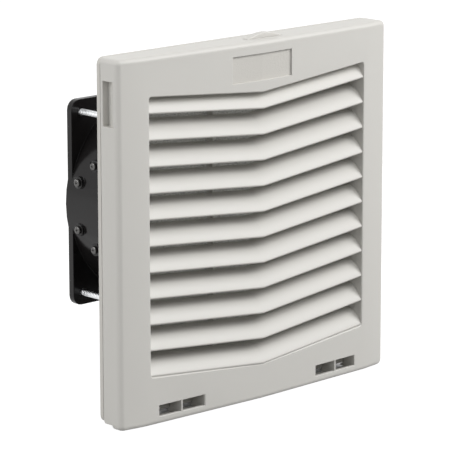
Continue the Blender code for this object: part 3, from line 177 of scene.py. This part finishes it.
def applied(piece, kind, **settings):
    """Add a modifier with these settings and apply it."""
    only(piece)
    modifier = piece.modifiers.new(kind.lower(), kind)
    for label, value in settings.items():
        setattr(modifier, label, value)
    bpy.ops.object.modifier_apply(modifier=modifier.name)


body_of_node = {node: body for body, nodes in frame["record"]["behaviour"]["bodies"].items()
                for node in nodes}


def finished(piece, material, slot, *nodes):
    """Give a piece its material, and let it stand for its nodes on their body; the slot is not used."""
    piece.data.materials.clear()
    piece.data.materials.append(material)
    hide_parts(*nodes)
    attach(piece, body_of_node[nodes[0]])
    return piece


def dressed_copy(node, name, angle, material, slot):
    """Copy of a CAD node, merged and shaded smooth up to its corners, that stands for the node."""
    source = frame["nodes"][node]
    piece = source.copy()
    piece.data = source.data.copy()
    piece.name = name
    piece.parent = None
    bpy.context.scene.collection.objects.link(piece)
    only(piece)
    bpy.ops.object.mode_set(mode="EDIT")
    bpy.ops.mesh.select_all(action="SELECT")
    bpy.ops.mesh.remove_doubles(threshold=0.002 * MM)
    bpy.ops.mesh.dissolve_limited(angle_limit=math.radians(0.4))
    bpy.ops.object.mode_set(mode="OBJECT")
    bpy.ops.object.shade_smooth_by_angle(angle=math.radians(angle))
    applied(piece, "WEIGHTED_NORMAL", keep_sharp=True)
    return finished(piece, material, slot, node)


cover_plastic = skinned_material(
    "light_grey_cover_plastic", moulded_skin,
    {"Colour": (0.63, 0.617, 0.583, 1.0), "Clouding": 0.03, "Grain per metre": 2600.0,
     "Roughness": 0.44, "Roughness spread": 0.10},
    bump=0.02 * MM, soft_edge=0.45 * MM, IOR=1.48)
louvred_cover = dressed_copy("front_grille", "louvred_cover", 32.0, cover_plastic, "cover_plastic")


# Badge ground
# The bare recess at the top of the cover has a coarser eroded ground than the
# skin round it. It is part of the same moulding.

BADGE_CENTRE_Z = 83.2 * MM
BADGE_HALF = (22.4 * MM, 7.4 * MM)
badge_ground = skinned_material(
    "stippled_badge_ground", moulded_skin,
    {"Colour": (0.60, 0.583, 0.545, 1.0), "Clouding": 0.04, "Grain per metre": 1300.0,
     "Roughness": 0.55, "Roughness spread": 0.2},
    bump=0.16 * MM, IOR=1.48)
louvred_cover.data.materials.append(badge_ground)
for face in louvred_cover.data.polygons:
    in_width = abs(face.center.x) < BADGE_HALF[0]
    in_height = abs(face.center.z - BADGE_CENTRE_Z) < BADGE_HALF[1]
    if in_width and in_height and face.normal.y < -0.9:
        face.material_index = 1


# Cover latch
# Sprung tongue in the same grey plastic, under the top wall, with an arched
# pad for the thumb that stands through the wall.

dressed_copy("cover_latch", "thumb_latch", 35.0, cover_plastic, "cover_plastic")


# Base frame and its clips
# The frame that snaps into the panel: rim, box, support grid and hinge rods
# in one grey moulding, with four sprung wedges in its left and right walls.

frame_plastic = skinned_material(
    "grey_frame_plastic", moulded_skin,
    {"Colour": (0.615, 0.598, 0.558, 1.0), "Clouding": 0.05, "Grain per metre": 2000.0,
     "Roughness": 0.42, "Roughness spread": 0.12},
    bump=0.02 * MM, soft_edge=0.35 * MM, IOR=1.48)
for node in ("base_frame", "retaining_clip_left_top", "retaining_clip_left_bottom",
             "retaining_clip_right_top", "retaining_clip_right_bottom"):
    dressed_copy(node, node + "_finished", 30.0, frame_plastic, "cover_plastic")


# Panel gasket
# Soft closed-cell foam frame, die-cut, pressed into the groove of the rim and
# a little proud of the panel face.


def placed(piece):
    """Put the piece's place, turn and scale into its mesh."""
    only(piece)
    bpy.ops.object.transform_apply(location=True, rotation=True, scale=True)
    return piece


def block(name, low, high):
    """Box primitive between two corners, as a named piece."""
    bpy.ops.object.select_all(action="DESELECT")
    middle = [(a + b) / 2 for a, b in zip(low, high)]
    bpy.ops.mesh.primitive_cube_add(size=1.0, location=middle)
    piece = bpy.context.active_object
    piece.name = name
    piece.scale = [b - a for a, b in zip(low, high)]
    return placed(piece)


def edit_faces(piece, chosen):
    """Open the piece in face mode with only the chosen faces selected."""
    only(piece)
    bpy.ops.object.mode_set(mode="EDIT")
    bpy.ops.mesh.select_mode(type="FACE")
    bpy.ops.mesh.select_all(action="DESELECT")
    bpy.ops.object.mode_set(mode="OBJECT")
    for face in piece.data.polygons:
        face.select = chosen(face)
    bpy.ops.object.mode_set(mode="EDIT")


def cellular_group():
    """Foam or fibre skin: small cells with painted shade in their low mouths and a soft cloudy tone."""
    tree, start, end = group_tree(
        "cellular_skin",
        [("Colour", "NodeSocketColor", (0.1, 0.1, 0.1, 1.0)),
         ("Cells per metre", "NodeSocketFloat", 1500.0),
         ("Mouth shade", "NodeSocketFloat", 0.5), ("Roughness", "NodeSocketFloat", 0.95)],
        [("Colour", "NodeSocketColor"), ("Roughness", "NodeSocketFloat"), ("Height", "NodeSocketFloat")])
    place = tree.nodes.new("ShaderNodeTexCoord").outputs["Object"]
    cells = tree.nodes.new("ShaderNodeTexVoronoi")
    tree.links.new(place, cells.inputs["Vector"])
    tree.links.new(start.outputs["Cells per metre"], cells.inputs["Scale"])
    # Painted shade: the colour darkens towards each cell's low rim, by the Mouth shade share.
    depth = math_node(tree, "MULTIPLY", cells.outputs["Distance"], start.outputs["Mouth shade"])
    cloud = math_node(tree, "MULTIPLY", noise_node(tree, place, 60.0, 5.0), 0.3)
    level = math_node(tree, "SUBTRACT", math_node(tree, "ADD", cloud, 1.1), depth)
    tree.links.new(tinted(tree, start.outputs["Colour"], level), end.inputs["Colour"])
    tree.links.new(math_node(tree, "SUBTRACT", start.outputs["Roughness"],
                             math_node(tree, "MULTIPLY", cloud, 0.2)), end.inputs["Roughness"])
    tree.links.new(math_node(tree, "SUBTRACT", 1.0, cells.outputs["Distance"]), end.inputs["Height"])
    return tree


GASKET_STRIP = 5.0 * MM
cellular_skin = cellular_group()
gasket_foam = skinned_material(
    "dark_closed_cell_foam", cellular_skin,
    {"Colour": (0.055, 0.055, 0.058, 1.0), "Cells per metre": 1900.0, "Mouth shade": 0.7},
    bump=0.12 * MM)
gasket_low, gasket_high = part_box("panel_gasket")
foam_gasket = block("foam_gasket", gasket_low, gasket_high)
edit_faces(foam_gasket, lambda face: abs(face.normal.y) > 0.9)
bpy.ops.mesh.inset(thickness=GASKET_STRIP, use_individual=True)
bpy.ops.mesh.bridge_edge_loops()
bpy.ops.mesh.select_all(action="SELECT")
bpy.ops.mesh.normals_make_consistent(inside=False)
bpy.ops.object.mode_set(mode="OBJECT")
applied(foam_gasket, "BEVEL", width=0.45 * MM, segments=3, limit_method="ANGLE")
bpy.ops.object.shade_smooth_by_angle(angle=math.radians(40.0))
finished(foam_gasket, gasket_foam, "gasket_foam", "panel_gasket")


# Filter mat
# Loose white polyester fleece, about half an inch thick, cut a little full so
# that it holds itself in the box. Its faces are uneven and throw off stray fibres.

MAT_SWELL = 0.5 * MM
FIBRE_COUNT = 1100
FIBRE_RADIUS = 0.07 * MM
FIBRE_REACH = 5.0 * MM
fleece_fibre = skinned_material(
    "white_filter_fleece", cellular_skin,
    {"Colour": (0.80, 0.80, 0.77, 1.0), "Cells per metre": 900.0, "Mouth shade": 0.55},
    bump=0.5 * MM, Sheen_Weight=0.3, Sheen_Roughness=0.6)
mat_low, mat_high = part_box("filter_mat")
fleece_low = [a + MAT_SWELL for a in mat_low]
fleece_high = [b - MAT_SWELL for b in mat_high]
filter_fleece = block("filter_fleece", fleece_low, fleece_high)
applied(filter_fleece, "BEVEL", width=2.5 * MM, segments=4, limit_method="ANGLE")
applied(filter_fleece, "REMESH", mode="VOXEL", voxel_size=2.0 * MM)
tufts = bpy.data.textures.new("fleece_tufts", "CLOUDS")
tufts.noise_scale = 7.0 * MM
tufts.noise_depth = 3
applied(filter_fleece, "DISPLACE", texture=tufts, strength=2 * MAT_SWELL, mid_level=0.5,
        texture_coords="LOCAL")
only(filter_fleece)
bpy.ops.object.shade_smooth()

draw = random.Random(7)
fibres = bpy.data.curves.new("stray_fibres", "CURVE")
fibres.dimensions = "3D"
fibres.bevel_depth = FIBRE_RADIUS
fibres.bevel_resolution = 0
for number in range(FIBRE_COUNT):
    front = number % 3 != 0
    face_y = fleece_low[1] if front else fleece_high[1]
    outward = -1 if front else 1
    x = draw.uniform(fleece_low[0] + FIBRE_REACH, fleece_high[0] - FIBRE_REACH)
    z = draw.uniform(fleece_low[2] + FIBRE_REACH, fleece_high[2] - FIBRE_REACH)
    heading = draw.uniform(0.0, 2 * math.pi)
    curl = draw.uniform(-0.9, 0.9)
    spline = fibres.splines.new("POLY")
    spline.points.add(4)
    for step, point in enumerate(spline.points):
        lift = outward * (math.sin(math.pi * step / 4) * 1.1 - 0.4) * MAT_SWELL
        point.co = (x, face_y + lift, z, 1.0)
        x += math.cos(heading) * FIBRE_REACH / 4
        z += math.sin(heading) * FIBRE_REACH / 4
        heading += curl
fibre_holder = bpy.data.objects.new("stray_fibres", fibres)
bpy.context.scene.collection.objects.link(fibre_holder)
only(fibre_holder)
bpy.ops.object.convert(target="MESH")
fibre_holder.select_set(True)
filter_fleece.select_set(True)
bpy.context.view_layer.objects.active = filter_fleece
bpy.ops.object.join()
finished(filter_fleece, fleece_fibre, "mat_fibre", "filter_mat")


# Fan shroud
# Tapered grey adapter between the box and the fan, held to the base frame by
# a screw in each corner.

shroud_plastic = skinned_material(
    "grey_shroud_plastic", moulded_skin,
    {"Colour": (0.56, 0.555, 0.53, 1.0), "Clouding": 0.06, "Grain per metre": 1800.0,
     "Roughness": 0.5, "Roughness spread": 0.12},
    bump=0.03 * MM, soft_edge=0.35 * MM, IOR=1.48)
dressed_copy("fan_shroud", "tapered_shroud", 30.0, shroud_plastic, "cover_plastic")


# Fan housing
# Die-cast aluminium under satin black paint: two square flanges joined by a
# round barrel, open at the corners for the long screws.

black_paint = skinned_material(
    "satin_black_paint", moulded_skin,
    {"Colour": (0.010, 0.009, 0.009, 1.0), "Clouding": 0.5, "Grain per metre": 700.0,
     "Roughness": 0.2, "Roughness spread": 0.12},
    bump=0.03 * MM, soft_edge=0.5 * MM, IOR=1.33)
dressed_copy("fan_housing", "cast_fan_housing", 35.0, black_paint, "fan_casting")


# Screws
# Cross-recessed pan heads with rolled threads: four long zinc-plated ones
# through the fan's corners, four short ones that hold the shroud, and four
# blackened ones in the lugs of the barrel.

RECESS_TAPER = 0.55


def picked_join(pieces):
    """Join the pieces into the first of them."""
    bpy.ops.object.select_all(action="DESELECT")
    for piece in pieces:
        piece.select_set(True)
    bpy.context.view_layer.objects.active = pieces[0]
    bpy.ops.object.join()
    return pieces[0]


def thread_ridge(radius, depth, pitch, length):
    """Helical ridge round Z that runs down from the origin."""
    bpy.ops.object.select_all(action="DESELECT")
    bpy.ops.mesh.primitive_circle_add(vertices=3, radius=0.5 * pitch, rotation=(0.0, 0.0, -math.pi / 2))
    ridge = placed(bpy.context.active_object)
    ridge.scale = (depth / pitch * 1.3, 1.0, 1.0)
    ridge.rotation_euler = (math.pi / 2, 0.0, 0.0)
    ridge.location = (radius - depth, 0.0, -length)
    placed(ridge)
    applied(ridge, "SCREW", axis="Z", angle=2 * math.pi, screw_offset=pitch,
            iterations=int(length / pitch) - 1, steps=14, render_steps=14,
            use_merge_vertices=False, use_smooth_shade=False)
    bpy.ops.object.mode_set(mode="EDIT")
    bpy.ops.mesh.select_mode(type="EDGE")
    bpy.ops.mesh.select_all(action="DESELECT")
    bpy.ops.mesh.select_non_manifold()
    bpy.ops.mesh.fill()
    bpy.ops.mesh.select_all(action="SELECT")
    bpy.ops.mesh.normals_make_consistent(inside=False)
    bpy.ops.object.mode_set(mode="OBJECT")
    return ridge


def pan_screw(name, head_radius, head_height, radius, length, pitch):
    """Screw down -Z from the seat of its head at the origin, with a cross recess."""
    bpy.ops.object.select_all(action="DESELECT")
    bpy.ops.mesh.primitive_cylinder_add(vertices=28, radius=head_radius, depth=head_height,
                                        location=(0.0, 0.0, head_height / 2))
    screw = placed(bpy.context.active_object)
    screw.name = name
    edit_faces(screw, lambda face: face.normal.z < -0.9)
    bpy.ops.mesh.inset(thickness=head_radius - radius + 0.22 * pitch)
    bpy.ops.mesh.extrude_region_move(TRANSFORM_OT_translate={"value": (0.0, 0.0, -length)})
    bpy.ops.object.mode_set(mode="OBJECT")
    edit_faces(screw, lambda face: face.normal.z > 0.9)
    bpy.ops.mesh.region_to_loop()
    bpy.ops.mesh.bevel(offset=head_height * 0.6, segments=4)
    bpy.ops.object.mode_set(mode="OBJECT")
    arms = []
    for turn in (0.0, math.pi / 2):
        bpy.ops.object.select_all(action="DESELECT")
        bpy.ops.mesh.primitive_cube_add(size=1.0, location=(0.0, 0.0, head_height),
                                        rotation=(0.0, 0.0, turn))
        arm = bpy.context.active_object
        arm.scale = (head_radius * 1.15, head_radius * 0.22, head_height * 1.3)
        placed(arm)
        edit_faces(arm, lambda face: face.normal.z < -0.9)
        bpy.ops.transform.resize(value=(RECESS_TAPER, RECESS_TAPER, 1.0))
        bpy.ops.object.mode_set(mode="OBJECT")
        applied(screw, "BOOLEAN", operation="DIFFERENCE", object=arm)
        arms.append(arm)
    for arm in arms:
        bpy.data.objects.remove(arm, do_unlink=True)
    only(screw)
    bpy.ops.object.shade_smooth_by_angle(angle=math.radians(30.0))
    ridge = thread_ridge(radius, 0.22 * pitch, pitch, length)
    return picked_join([screw, ridge])


def screw_at(pattern, name, node, seat, axis, material, slot):
    """Copy of the pattern screw with its seat here and its head along the axis."""
    screw = pattern.copy()
    screw.data = pattern.data.copy()
    screw.name = name
    bpy.context.scene.collection.objects.link(screw)
    screw.rotation_euler = Vector(axis).to_track_quat("Z", "Y").to_euler()
    screw.location = seat
    placed(screw)
    return finished(screw, material, slot, node)


def box_centre(node):
    """Middle of a CAD node's box."""
    low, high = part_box(node)
    return [(a + b) / 2 for a, b in zip(low, high)]


zinc_plate = skinned_material(
    "bright_zinc_plate", moulded_skin,
    {"Colour": (0.70, 0.71, 0.72, 1.0), "Clouding": 0.25, "Grain per metre": 500.0,
     "Roughness": 0.27, "Roughness spread": 0.2},
    bump=0.01 * MM, Metallic=1.0)
black_oxide = skinned_material(
    "black_oxide_steel", moulded_skin,
    {"Colour": (0.11, 0.107, 0.105, 1.0), "Clouding": 0.4, "Grain per metre": 700.0,
     "Roughness": 0.2, "Roughness spread": 0.12},
    bump=0.01 * MM, Metallic=0.85)

LONG_SCREW = {"head_radius": 3.4 * MM, "head_height": 1.8 * MM, "radius": 1.9 * MM, "pitch": 1.3 * MM}
SHROUD_SCREW = {"head_radius": 2.4 * MM, "head_height": 2.0 * MM, "radius": 1.3 * MM, "pitch": 0.9 * MM}
LUG_SCREW = {"head_radius": 2.2 * MM, "head_height": 1.2 * MM, "radius": 1.2 * MM, "pitch": 0.6 * MM}

for prefix, label, sizes in (("fan_screw_", "long_screw_", LONG_SCREW),
                             ("shroud_screw_", "short_screw_", SHROUD_SCREW)):
    low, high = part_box(prefix + "1")
    length = high[1] - low[1] - sizes["head_height"]
    pattern = pan_screw("screw_pattern", length=length, **sizes)
    for number in range(1, 5):
        node = prefix + str(number)
        centre = box_centre(node)
        seat = (centre[0], high[1] - sizes["head_height"], centre[2])
        screw_at(pattern, label + str(number), node, seat, (0.0, 1.0, 0.0), zinc_plate, "zinc_steel")
    bpy.data.objects.remove(pattern, do_unlink=True)

low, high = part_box("lug_screw_rear_top")
length = high[0] - low[0] - LUG_SCREW["head_height"]
pattern = pan_screw("screw_pattern", length=length, **LUG_SCREW)
for place in ("rear_top", "rear_bottom", "front_top", "front_bottom"):
    node = "lug_screw_" + place
    low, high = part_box(node)
    seat = (low[0] + LUG_SCREW["head_height"], (low[1] + high[1]) / 2, (low[2] + high[2]) / 2)
    screw_at(pattern, "barrel_screw_" + place, node, seat, (-1.0, 0.0, 0.0), black_oxide, "black_steel")
bpy.data.objects.remove(pattern, do_unlink=True)


# Fan nuts
# Plated hexagon nuts on the long screws, behind the end plate of the shroud.

for number in range(1, 5):
    node = "fan_nut_" + str(number)
    nut = dressed_copy(node, "hexagon_nut_" + str(number), 25.0, zinc_plate, "zinc_steel")
    applied(nut, "BEVEL", width=0.25 * MM, segments=2, limit_method="ANGLE")


# Finger guard
# Bright plated wire: four rings welded on four legs, each leg bent down to an
# eye that a long screw holds against the fan.

WIRE_RADIUS = 0.8 * MM
RING_RADII = [10.0 * MM, 23.4 * MM, 36.8 * MM, 50.2 * MM]
HOLE_OFFSET = 52.4 * MM
EYE_RADIUS = 3.1 * MM
guard_low, guard_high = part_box("finger_guard")
eye_y = guard_low[1] + WIRE_RADIUS
ring_y = guard_high[1] - WIRE_RADIUS
leg_y = ring_y - 1.4 * WIRE_RADIUS


def round_wire(name, points, cyclic=False):
    """Bezier wire through the points, as a mesh."""
    curve = bpy.data.curves.new(name, "CURVE")
    curve.dimensions = "3D"
    curve.bevel_depth = WIRE_RADIUS
    curve.bevel_resolution = 4
    curve.resolution_u = 10
    curve.use_fill_caps = True
    spline = curve.splines.new("BEZIER")
    spline.bezier_points.add(len(points) - 1)
    spline.use_cyclic_u = cyclic
    for knot, point in zip(spline.bezier_points, points):
        knot.co = point
        knot.handle_left_type = "AUTO"
        knot.handle_right_type = "AUTO"
    wire = bpy.data.objects.new(name, curve)
    bpy.context.scene.collection.objects.link(wire)
    only(wire)
    bpy.ops.object.convert(target="MESH")
    return bpy.context.active_object


def ring_points(radius, y, centre=(0.0, 0.0), count=8):
    """Points round a circle across the fan's axis."""
    turn = 2 * math.pi / count
    return [(centre[0] + radius * math.cos(turn * n), y, centre[1] + radius * math.sin(turn * n))
            for n in range(count)]


guard_parts = [round_wire("ring", ring_points(radius, ring_y), cyclic=True) for radius in RING_RADII]
for number in range(4):
    angle = math.radians(45.0 + 90.0 * number)
    across = (math.cos(angle), math.sin(angle))
    diagonal = HOLE_OFFSET * math.sqrt(2)
    eye_edge = diagonal - EYE_RADIUS
    stations = [(RING_RADII[0] - 2 * MM, leg_y), (RING_RADII[-1] + MM, leg_y),
                (RING_RADII[-1] + 4 * MM, leg_y), (eye_edge - 5 * MM, eye_y),
                (eye_edge - 2 * MM, eye_y), (eye_edge + 0.3 * MM, eye_y)]
    leg = [(reach * across[0], y, reach * across[1]) for reach, y in stations]
    guard_parts.append(round_wire("leg", leg))
    centre = (diagonal * across[0], diagonal * across[1])
    guard_parts.append(round_wire("eye", ring_points(EYE_RADIUS, eye_y, centre), cyclic=True))
    for radius in RING_RADII:
        bpy.ops.object.select_all(action="DESELECT")
        bpy.ops.mesh.primitive_uv_sphere_add(
            segments=12, ring_count=8, radius=WIRE_RADIUS * 1.12,
            location=(radius * across[0], (leg_y + ring_y) / 2, radius * across[1]))
        weld = bpy.context.active_object
        weld.scale = (1.25, 0.9, 1.25)
        guard_parts.append(placed(weld))
wire_guard = picked_join(guard_parts)
wire_guard.name = "wire_finger_guard"
only(wire_guard)
bpy.ops.object.shade_smooth()
bright_wire = skinned_material(
    "bright_plated_wire", moulded_skin,
    {"Colour": (0.74, 0.74, 0.75, 1.0), "Clouding": 0.2, "Grain per metre": 300.0,
     "Roughness": 0.2, "Roughness spread": 0.14},
    bump=0.01 * MM, Metallic=1.0)
finished(placed(wire_guard), bright_wire, "guard_wire", "finger_guard")


# Impeller
# Seven swept blades on a hub ring, moulded in black plastic and pressed over
# the rotor cup.

blade_plastic = skinned_material(
    "black_blade_plastic", moulded_skin,
    {"Colour": (0.02, 0.02, 0.021, 1.0), "Clouding": 0.3, "Grain per metre": 1500.0,
     "Roughness": 0.36, "Roughness spread": 0.12},
    bump=0.02 * MM, soft_edge=0.3 * MM, IOR=1.5)
dressed_copy("impeller", "seven_blade_impeller", 50.0, blade_plastic, "black_plastic")


# Rotor and motor
# Drawn steel rotor cup with its iron ring and ground shaft, turning on two
# bearings in the motor base, round a stacked core with varnished copper coils.


def layered_group():
    """Stacked sheet or wound wire: fine even lines along the fan's axis."""
    tree, start, end = group_tree(
        "layered_skin",
        [("Colour", "NodeSocketColor", (0.3, 0.3, 0.3, 1.0)),
         ("Lines per metre", "NodeSocketFloat", 2000.0),
         ("Line shade", "NodeSocketFloat", 0.4), ("Roughness", "NodeSocketFloat", 0.45)],
        [("Colour", "NodeSocketColor"), ("Roughness", "NodeSocketFloat"), ("Height", "NodeSocketFloat")])
    place = tree.nodes.new("ShaderNodeTexCoord").outputs["Object"]
    bands = tree.nodes.new("ShaderNodeTexWave")
    bands.bands_direction = "Y"
    bands.inputs["Distortion"].default_value = 0.6
    tree.links.new(place, bands.inputs["Vector"])
    tree.links.new(start.outputs["Lines per metre"], bands.inputs["Scale"])
    shade = math_node(tree, "MULTIPLY", bands.outputs["Fac"], start.outputs["Line shade"])
    tree.links.new(tinted(tree, start.outputs["Colour"], math_node(tree, "SUBTRACT", 1.0, shade)),
                   end.inputs["Colour"])
    roughness = math_node(tree, "ADD", start.outputs["Roughness"], math_node(tree, "MULTIPLY", shade, 0.2))
    tree.links.new(roughness, end.inputs["Roughness"])
    tree.links.new(bands.outputs["Fac"], end.inputs["Height"])
    return tree


layered_skin = layered_group()
stacked_sheet = skinned_material(
    "stacked_sheet_iron", layered_skin,
    {"Colour": (0.34, 0.34, 0.35, 1.0), "Lines per metre": 320.0, "Line shade": 0.4},
    bump=0.05 * MM, Metallic=0.9)
wound_copper = skinned_material(
    "varnished_copper_wire", layered_skin,
    {"Colour": (0.62, 0.26, 0.10, 1.0), "Lines per metre": 260.0, "Line shade": 0.5, "Roughness": 0.3},
    bump=0.15 * MM, Metallic=0.9, Coat_Weight=0.6)
for node, name, material, slot in (
        ("rotor_cup", "drawn_rotor_cup", black_oxide, "black_steel"),
        ("rotor_ring", "iron_rotor_ring", stacked_sheet, "core_iron"),
        ("shaft", "ground_shaft", zinc_plate, "zinc_steel"),
        ("motor_base", "motor_base_plate", black_oxide, "black_steel"),
        ("stator_core", "stacked_stator_core", stacked_sheet, "core_iron"),
        ("winding_front", "front_coil", wound_copper, "copper"),
        ("winding_rear", "rear_coil", wound_copper, "copper"),
        ("bearing_front", "front_bearing", zinc_plate, "zinc_steel"),
        ("bearing_rear", "rear_bearing", zinc_plate, "zinc_steel")):
    dressed_copy(node, name, 35.0, material, slot)


# Terminals
# Two flat plated blades in a black insulating block on the barrel, for the
# mains lead of the cabinet.

block_plastic = skinned_material(
    "black_terminal_plastic", moulded_skin,
    {"Colour": (0.022, 0.022, 0.022, 1.0), "Clouding": 0.2, "Grain per metre": 1800.0,
     "Roughness": 0.5, "Roughness spread": 0.12},
    bump=0.03 * MM, IOR=1.5)
terminal_housing = dressed_copy("terminal_block", "terminal_housing", 30.0,
                                block_plastic, "black_plastic")
applied(terminal_housing, "BEVEL", width=0.3 * MM, segments=2, limit_method="ANGLE")
for number in (1, 2):
    blade = dressed_copy("terminal_blade_" + str(number), "flat_blade_" + str(number), 30.0,
                         zinc_plate, "zinc_steel")
    applied(blade, "BEVEL", width=0.12 * MM, segments=2, limit_method="ANGLE")


# Stage, light and camera
# Pale floor and white studio, soft lamps at the front right, the front, the rear
# left and the rear, and the camera where the photograph was taken from.

SENSOR_WIDTH = 36.0
FRAME_PIXELS = 450
SKY_LEVEL = 0.3
FLOOR_GREY = 0.3
FLOOR_GREY_SEEN = 0.28
FLOOR_GLOW = 0.88
# Painted shade: inside this box round SHADE_CENTRE, under the cover, the floor's glow fades out.
SHADE_CENTRE = (8.0 * MM, 4.0 * MM)
SHADE_REACH = (92.0 * MM, 18.0 * MM)
SHADE_SOLID_SHARE = 0.7
LAMP_SIZE = 0.8


def seen_ray(tree):
    """Socket that is 1 where the camera, a mirror or glass looks, and 0 for light on the object."""
    light_path = tree.nodes.new("ShaderNodeLightPath")
    looks = light_path.outputs["Is Camera Ray"]
    for kind in ("Is Glossy Ray", "Is Transmission Ray"):
        looks = math_node(tree, "MAXIMUM", looks, light_path.outputs[kind])
    return looks


def by_ray(tree, socket, for_light, for_eye):
    """Gives the socket one value for light on the object and another for what looks."""
    choice = tree.nodes.new("ShaderNodeMapRange")
    choice.inputs["To Min"].default_value = for_light
    choice.inputs["To Max"].default_value = for_eye
    tree.links.new(seen_ray(tree), choice.inputs["Value"])
    tree.links.new(choice.outputs[0], socket)


def open_floor(tree):
    """Socket that is 0 on the floor under the cover, where the glow gives way to painted shade, and 1
    beyond it.
    """
    place = tree.nodes.new("ShaderNodeSeparateXYZ")
    tree.links.new(tree.nodes.new("ShaderNodeTexCoord").outputs["Object"], place.inputs[0])
    shares = []
    for axis, centre, extent in zip("XY", SHADE_CENTRE, SHADE_REACH):
        offset = math_node(tree, "SUBTRACT", place.outputs[axis], centre)
        shares.append(math_node(tree, "DIVIDE", math_node(tree, "ABSOLUTE", offset, 0.0), extent))
    reach = math_node(tree, "MAXIMUM", *shares)
    step = tree.nodes.new("ShaderNodeMapRange")
    step.interpolation_type = "SMOOTHSTEP"
    step.inputs["From Min"].default_value = SHADE_SOLID_SHARE
    tree.links.new(reach, step.inputs["Value"])
    return step.outputs[0]


lowest_z = cad_box[0][2]
bpy.ops.mesh.primitive_plane_add(size=12.0, location=(0.0, 0.0, lowest_z))
floor = bpy.context.active_object
floor.name = "floor"
floor_material = bpy.data.materials.new("pale_floor")
floor_material.use_nodes = True
floor_shader = floor_material.node_tree.nodes["Principled BSDF"]
floor_shader.inputs["Roughness"].default_value = 0.9
floor_shader.inputs["Emission Color"].default_value = (1.0, 1.0, 1.0, 1.0)
floor_tree = floor_material.node_tree
by_ray(floor_tree, floor_shader.inputs["Base Color"], FLOOR_GREY, FLOOR_GREY_SEEN)
# Painted shade beneath the object: the floor's glow is held back under the cover, so only the lamps light
# it there.
glow = math_node(floor_tree, "MULTIPLY", open_floor(floor_tree), FLOOR_GLOW)
seen_glow = math_node(floor_tree, "MULTIPLY", glow, seen_ray(floor_tree))
floor_tree.links.new(seen_glow, floor_shader.inputs["Emission Strength"])
floor.data.materials.append(floor_material)

world = bpy.data.worlds.new("studio")
bpy.context.scene.world = world
world.use_nodes = True
backdrop = world.node_tree.nodes["Background"]
backdrop.inputs["Color"].default_value = (1.0, 1.0, 1.0, 1.0)
by_ray(world.node_tree, backdrop.inputs["Strength"], SKY_LEVEL, 1.0)


def soft_light(name, spot, watts):
    """Square area light at the spot, aimed at the object's origin."""
    bpy.ops.object.light_add(type="AREA", location=spot)
    light = bpy.context.active_object
    light.name = name
    light.data.shape = "SQUARE"
    light.data.size = LAMP_SIZE
    light.data.energy = watts
    light.rotation_euler = (-Vector(spot)).to_track_quat("-Z", "Y").to_euler()


soft_light("key_right", (0.81, -0.86, 0.93), 13.6)
soft_light("front", (0.0, -1.15, 0.96), 6.8)
soft_light("rear_left", (-1.28, 0.47, 0.63), 10.9)
soft_light("rear", (0.2, 1.43, 0.42), 5.0)

CAMERA_ELEVATION = math.radians(12.52)
CAMERA_AZIMUTH = math.radians(-43.09)
CAMERA_ROLL = math.radians(-0.11)
CAMERA_DISTANCE = 1629.1 * MM
CAMERA_ASIDE = -19.2 * MM
CAMERA_LIFT = 3.5 * MM
CAMERA_TARGET = Vector((0.0, -16.75 * MM, -4.3 * MM))
FOCAL_PIXELS = 2923.5
CENTRE_PIXEL = (222.5, 214.3)

back = Vector((math.sin(CAMERA_AZIMUTH) * math.cos(CAMERA_ELEVATION),
               -math.cos(CAMERA_AZIMUTH) * math.cos(CAMERA_ELEVATION), math.sin(CAMERA_ELEVATION)))
level = Vector((math.cos(CAMERA_AZIMUTH), math.sin(CAMERA_AZIMUTH), 0.0))
right = level * math.cos(CAMERA_ROLL) + back.cross(level) * math.sin(CAMERA_ROLL)
up = back.cross(right)
bpy.ops.object.camera_add()
camera = bpy.context.active_object
camera.name = "photo_camera"
place = Matrix((right, up, back)).transposed().to_4x4()
place.translation = CAMERA_TARGET + right * CAMERA_ASIDE + up * CAMERA_LIFT + back * CAMERA_DISTANCE
camera.matrix_world = place
camera.data.sensor_width = SENSOR_WIDTH
camera.data.lens = FOCAL_PIXELS / FRAME_PIXELS * SENSOR_WIDTH
camera.data.shift_x = (FRAME_PIXELS / 2 - CENTRE_PIXEL[0]) / FRAME_PIXELS
camera.data.shift_y = (CENTRE_PIXEL[1] - FRAME_PIXELS / 2) / FRAME_PIXELS
camera.data.clip_start = 0.05
camera.data.clip_end = 30.0
bpy.context.scene.camera = camera
bpy.context.scene.view_settings.view_transform = "Standard"
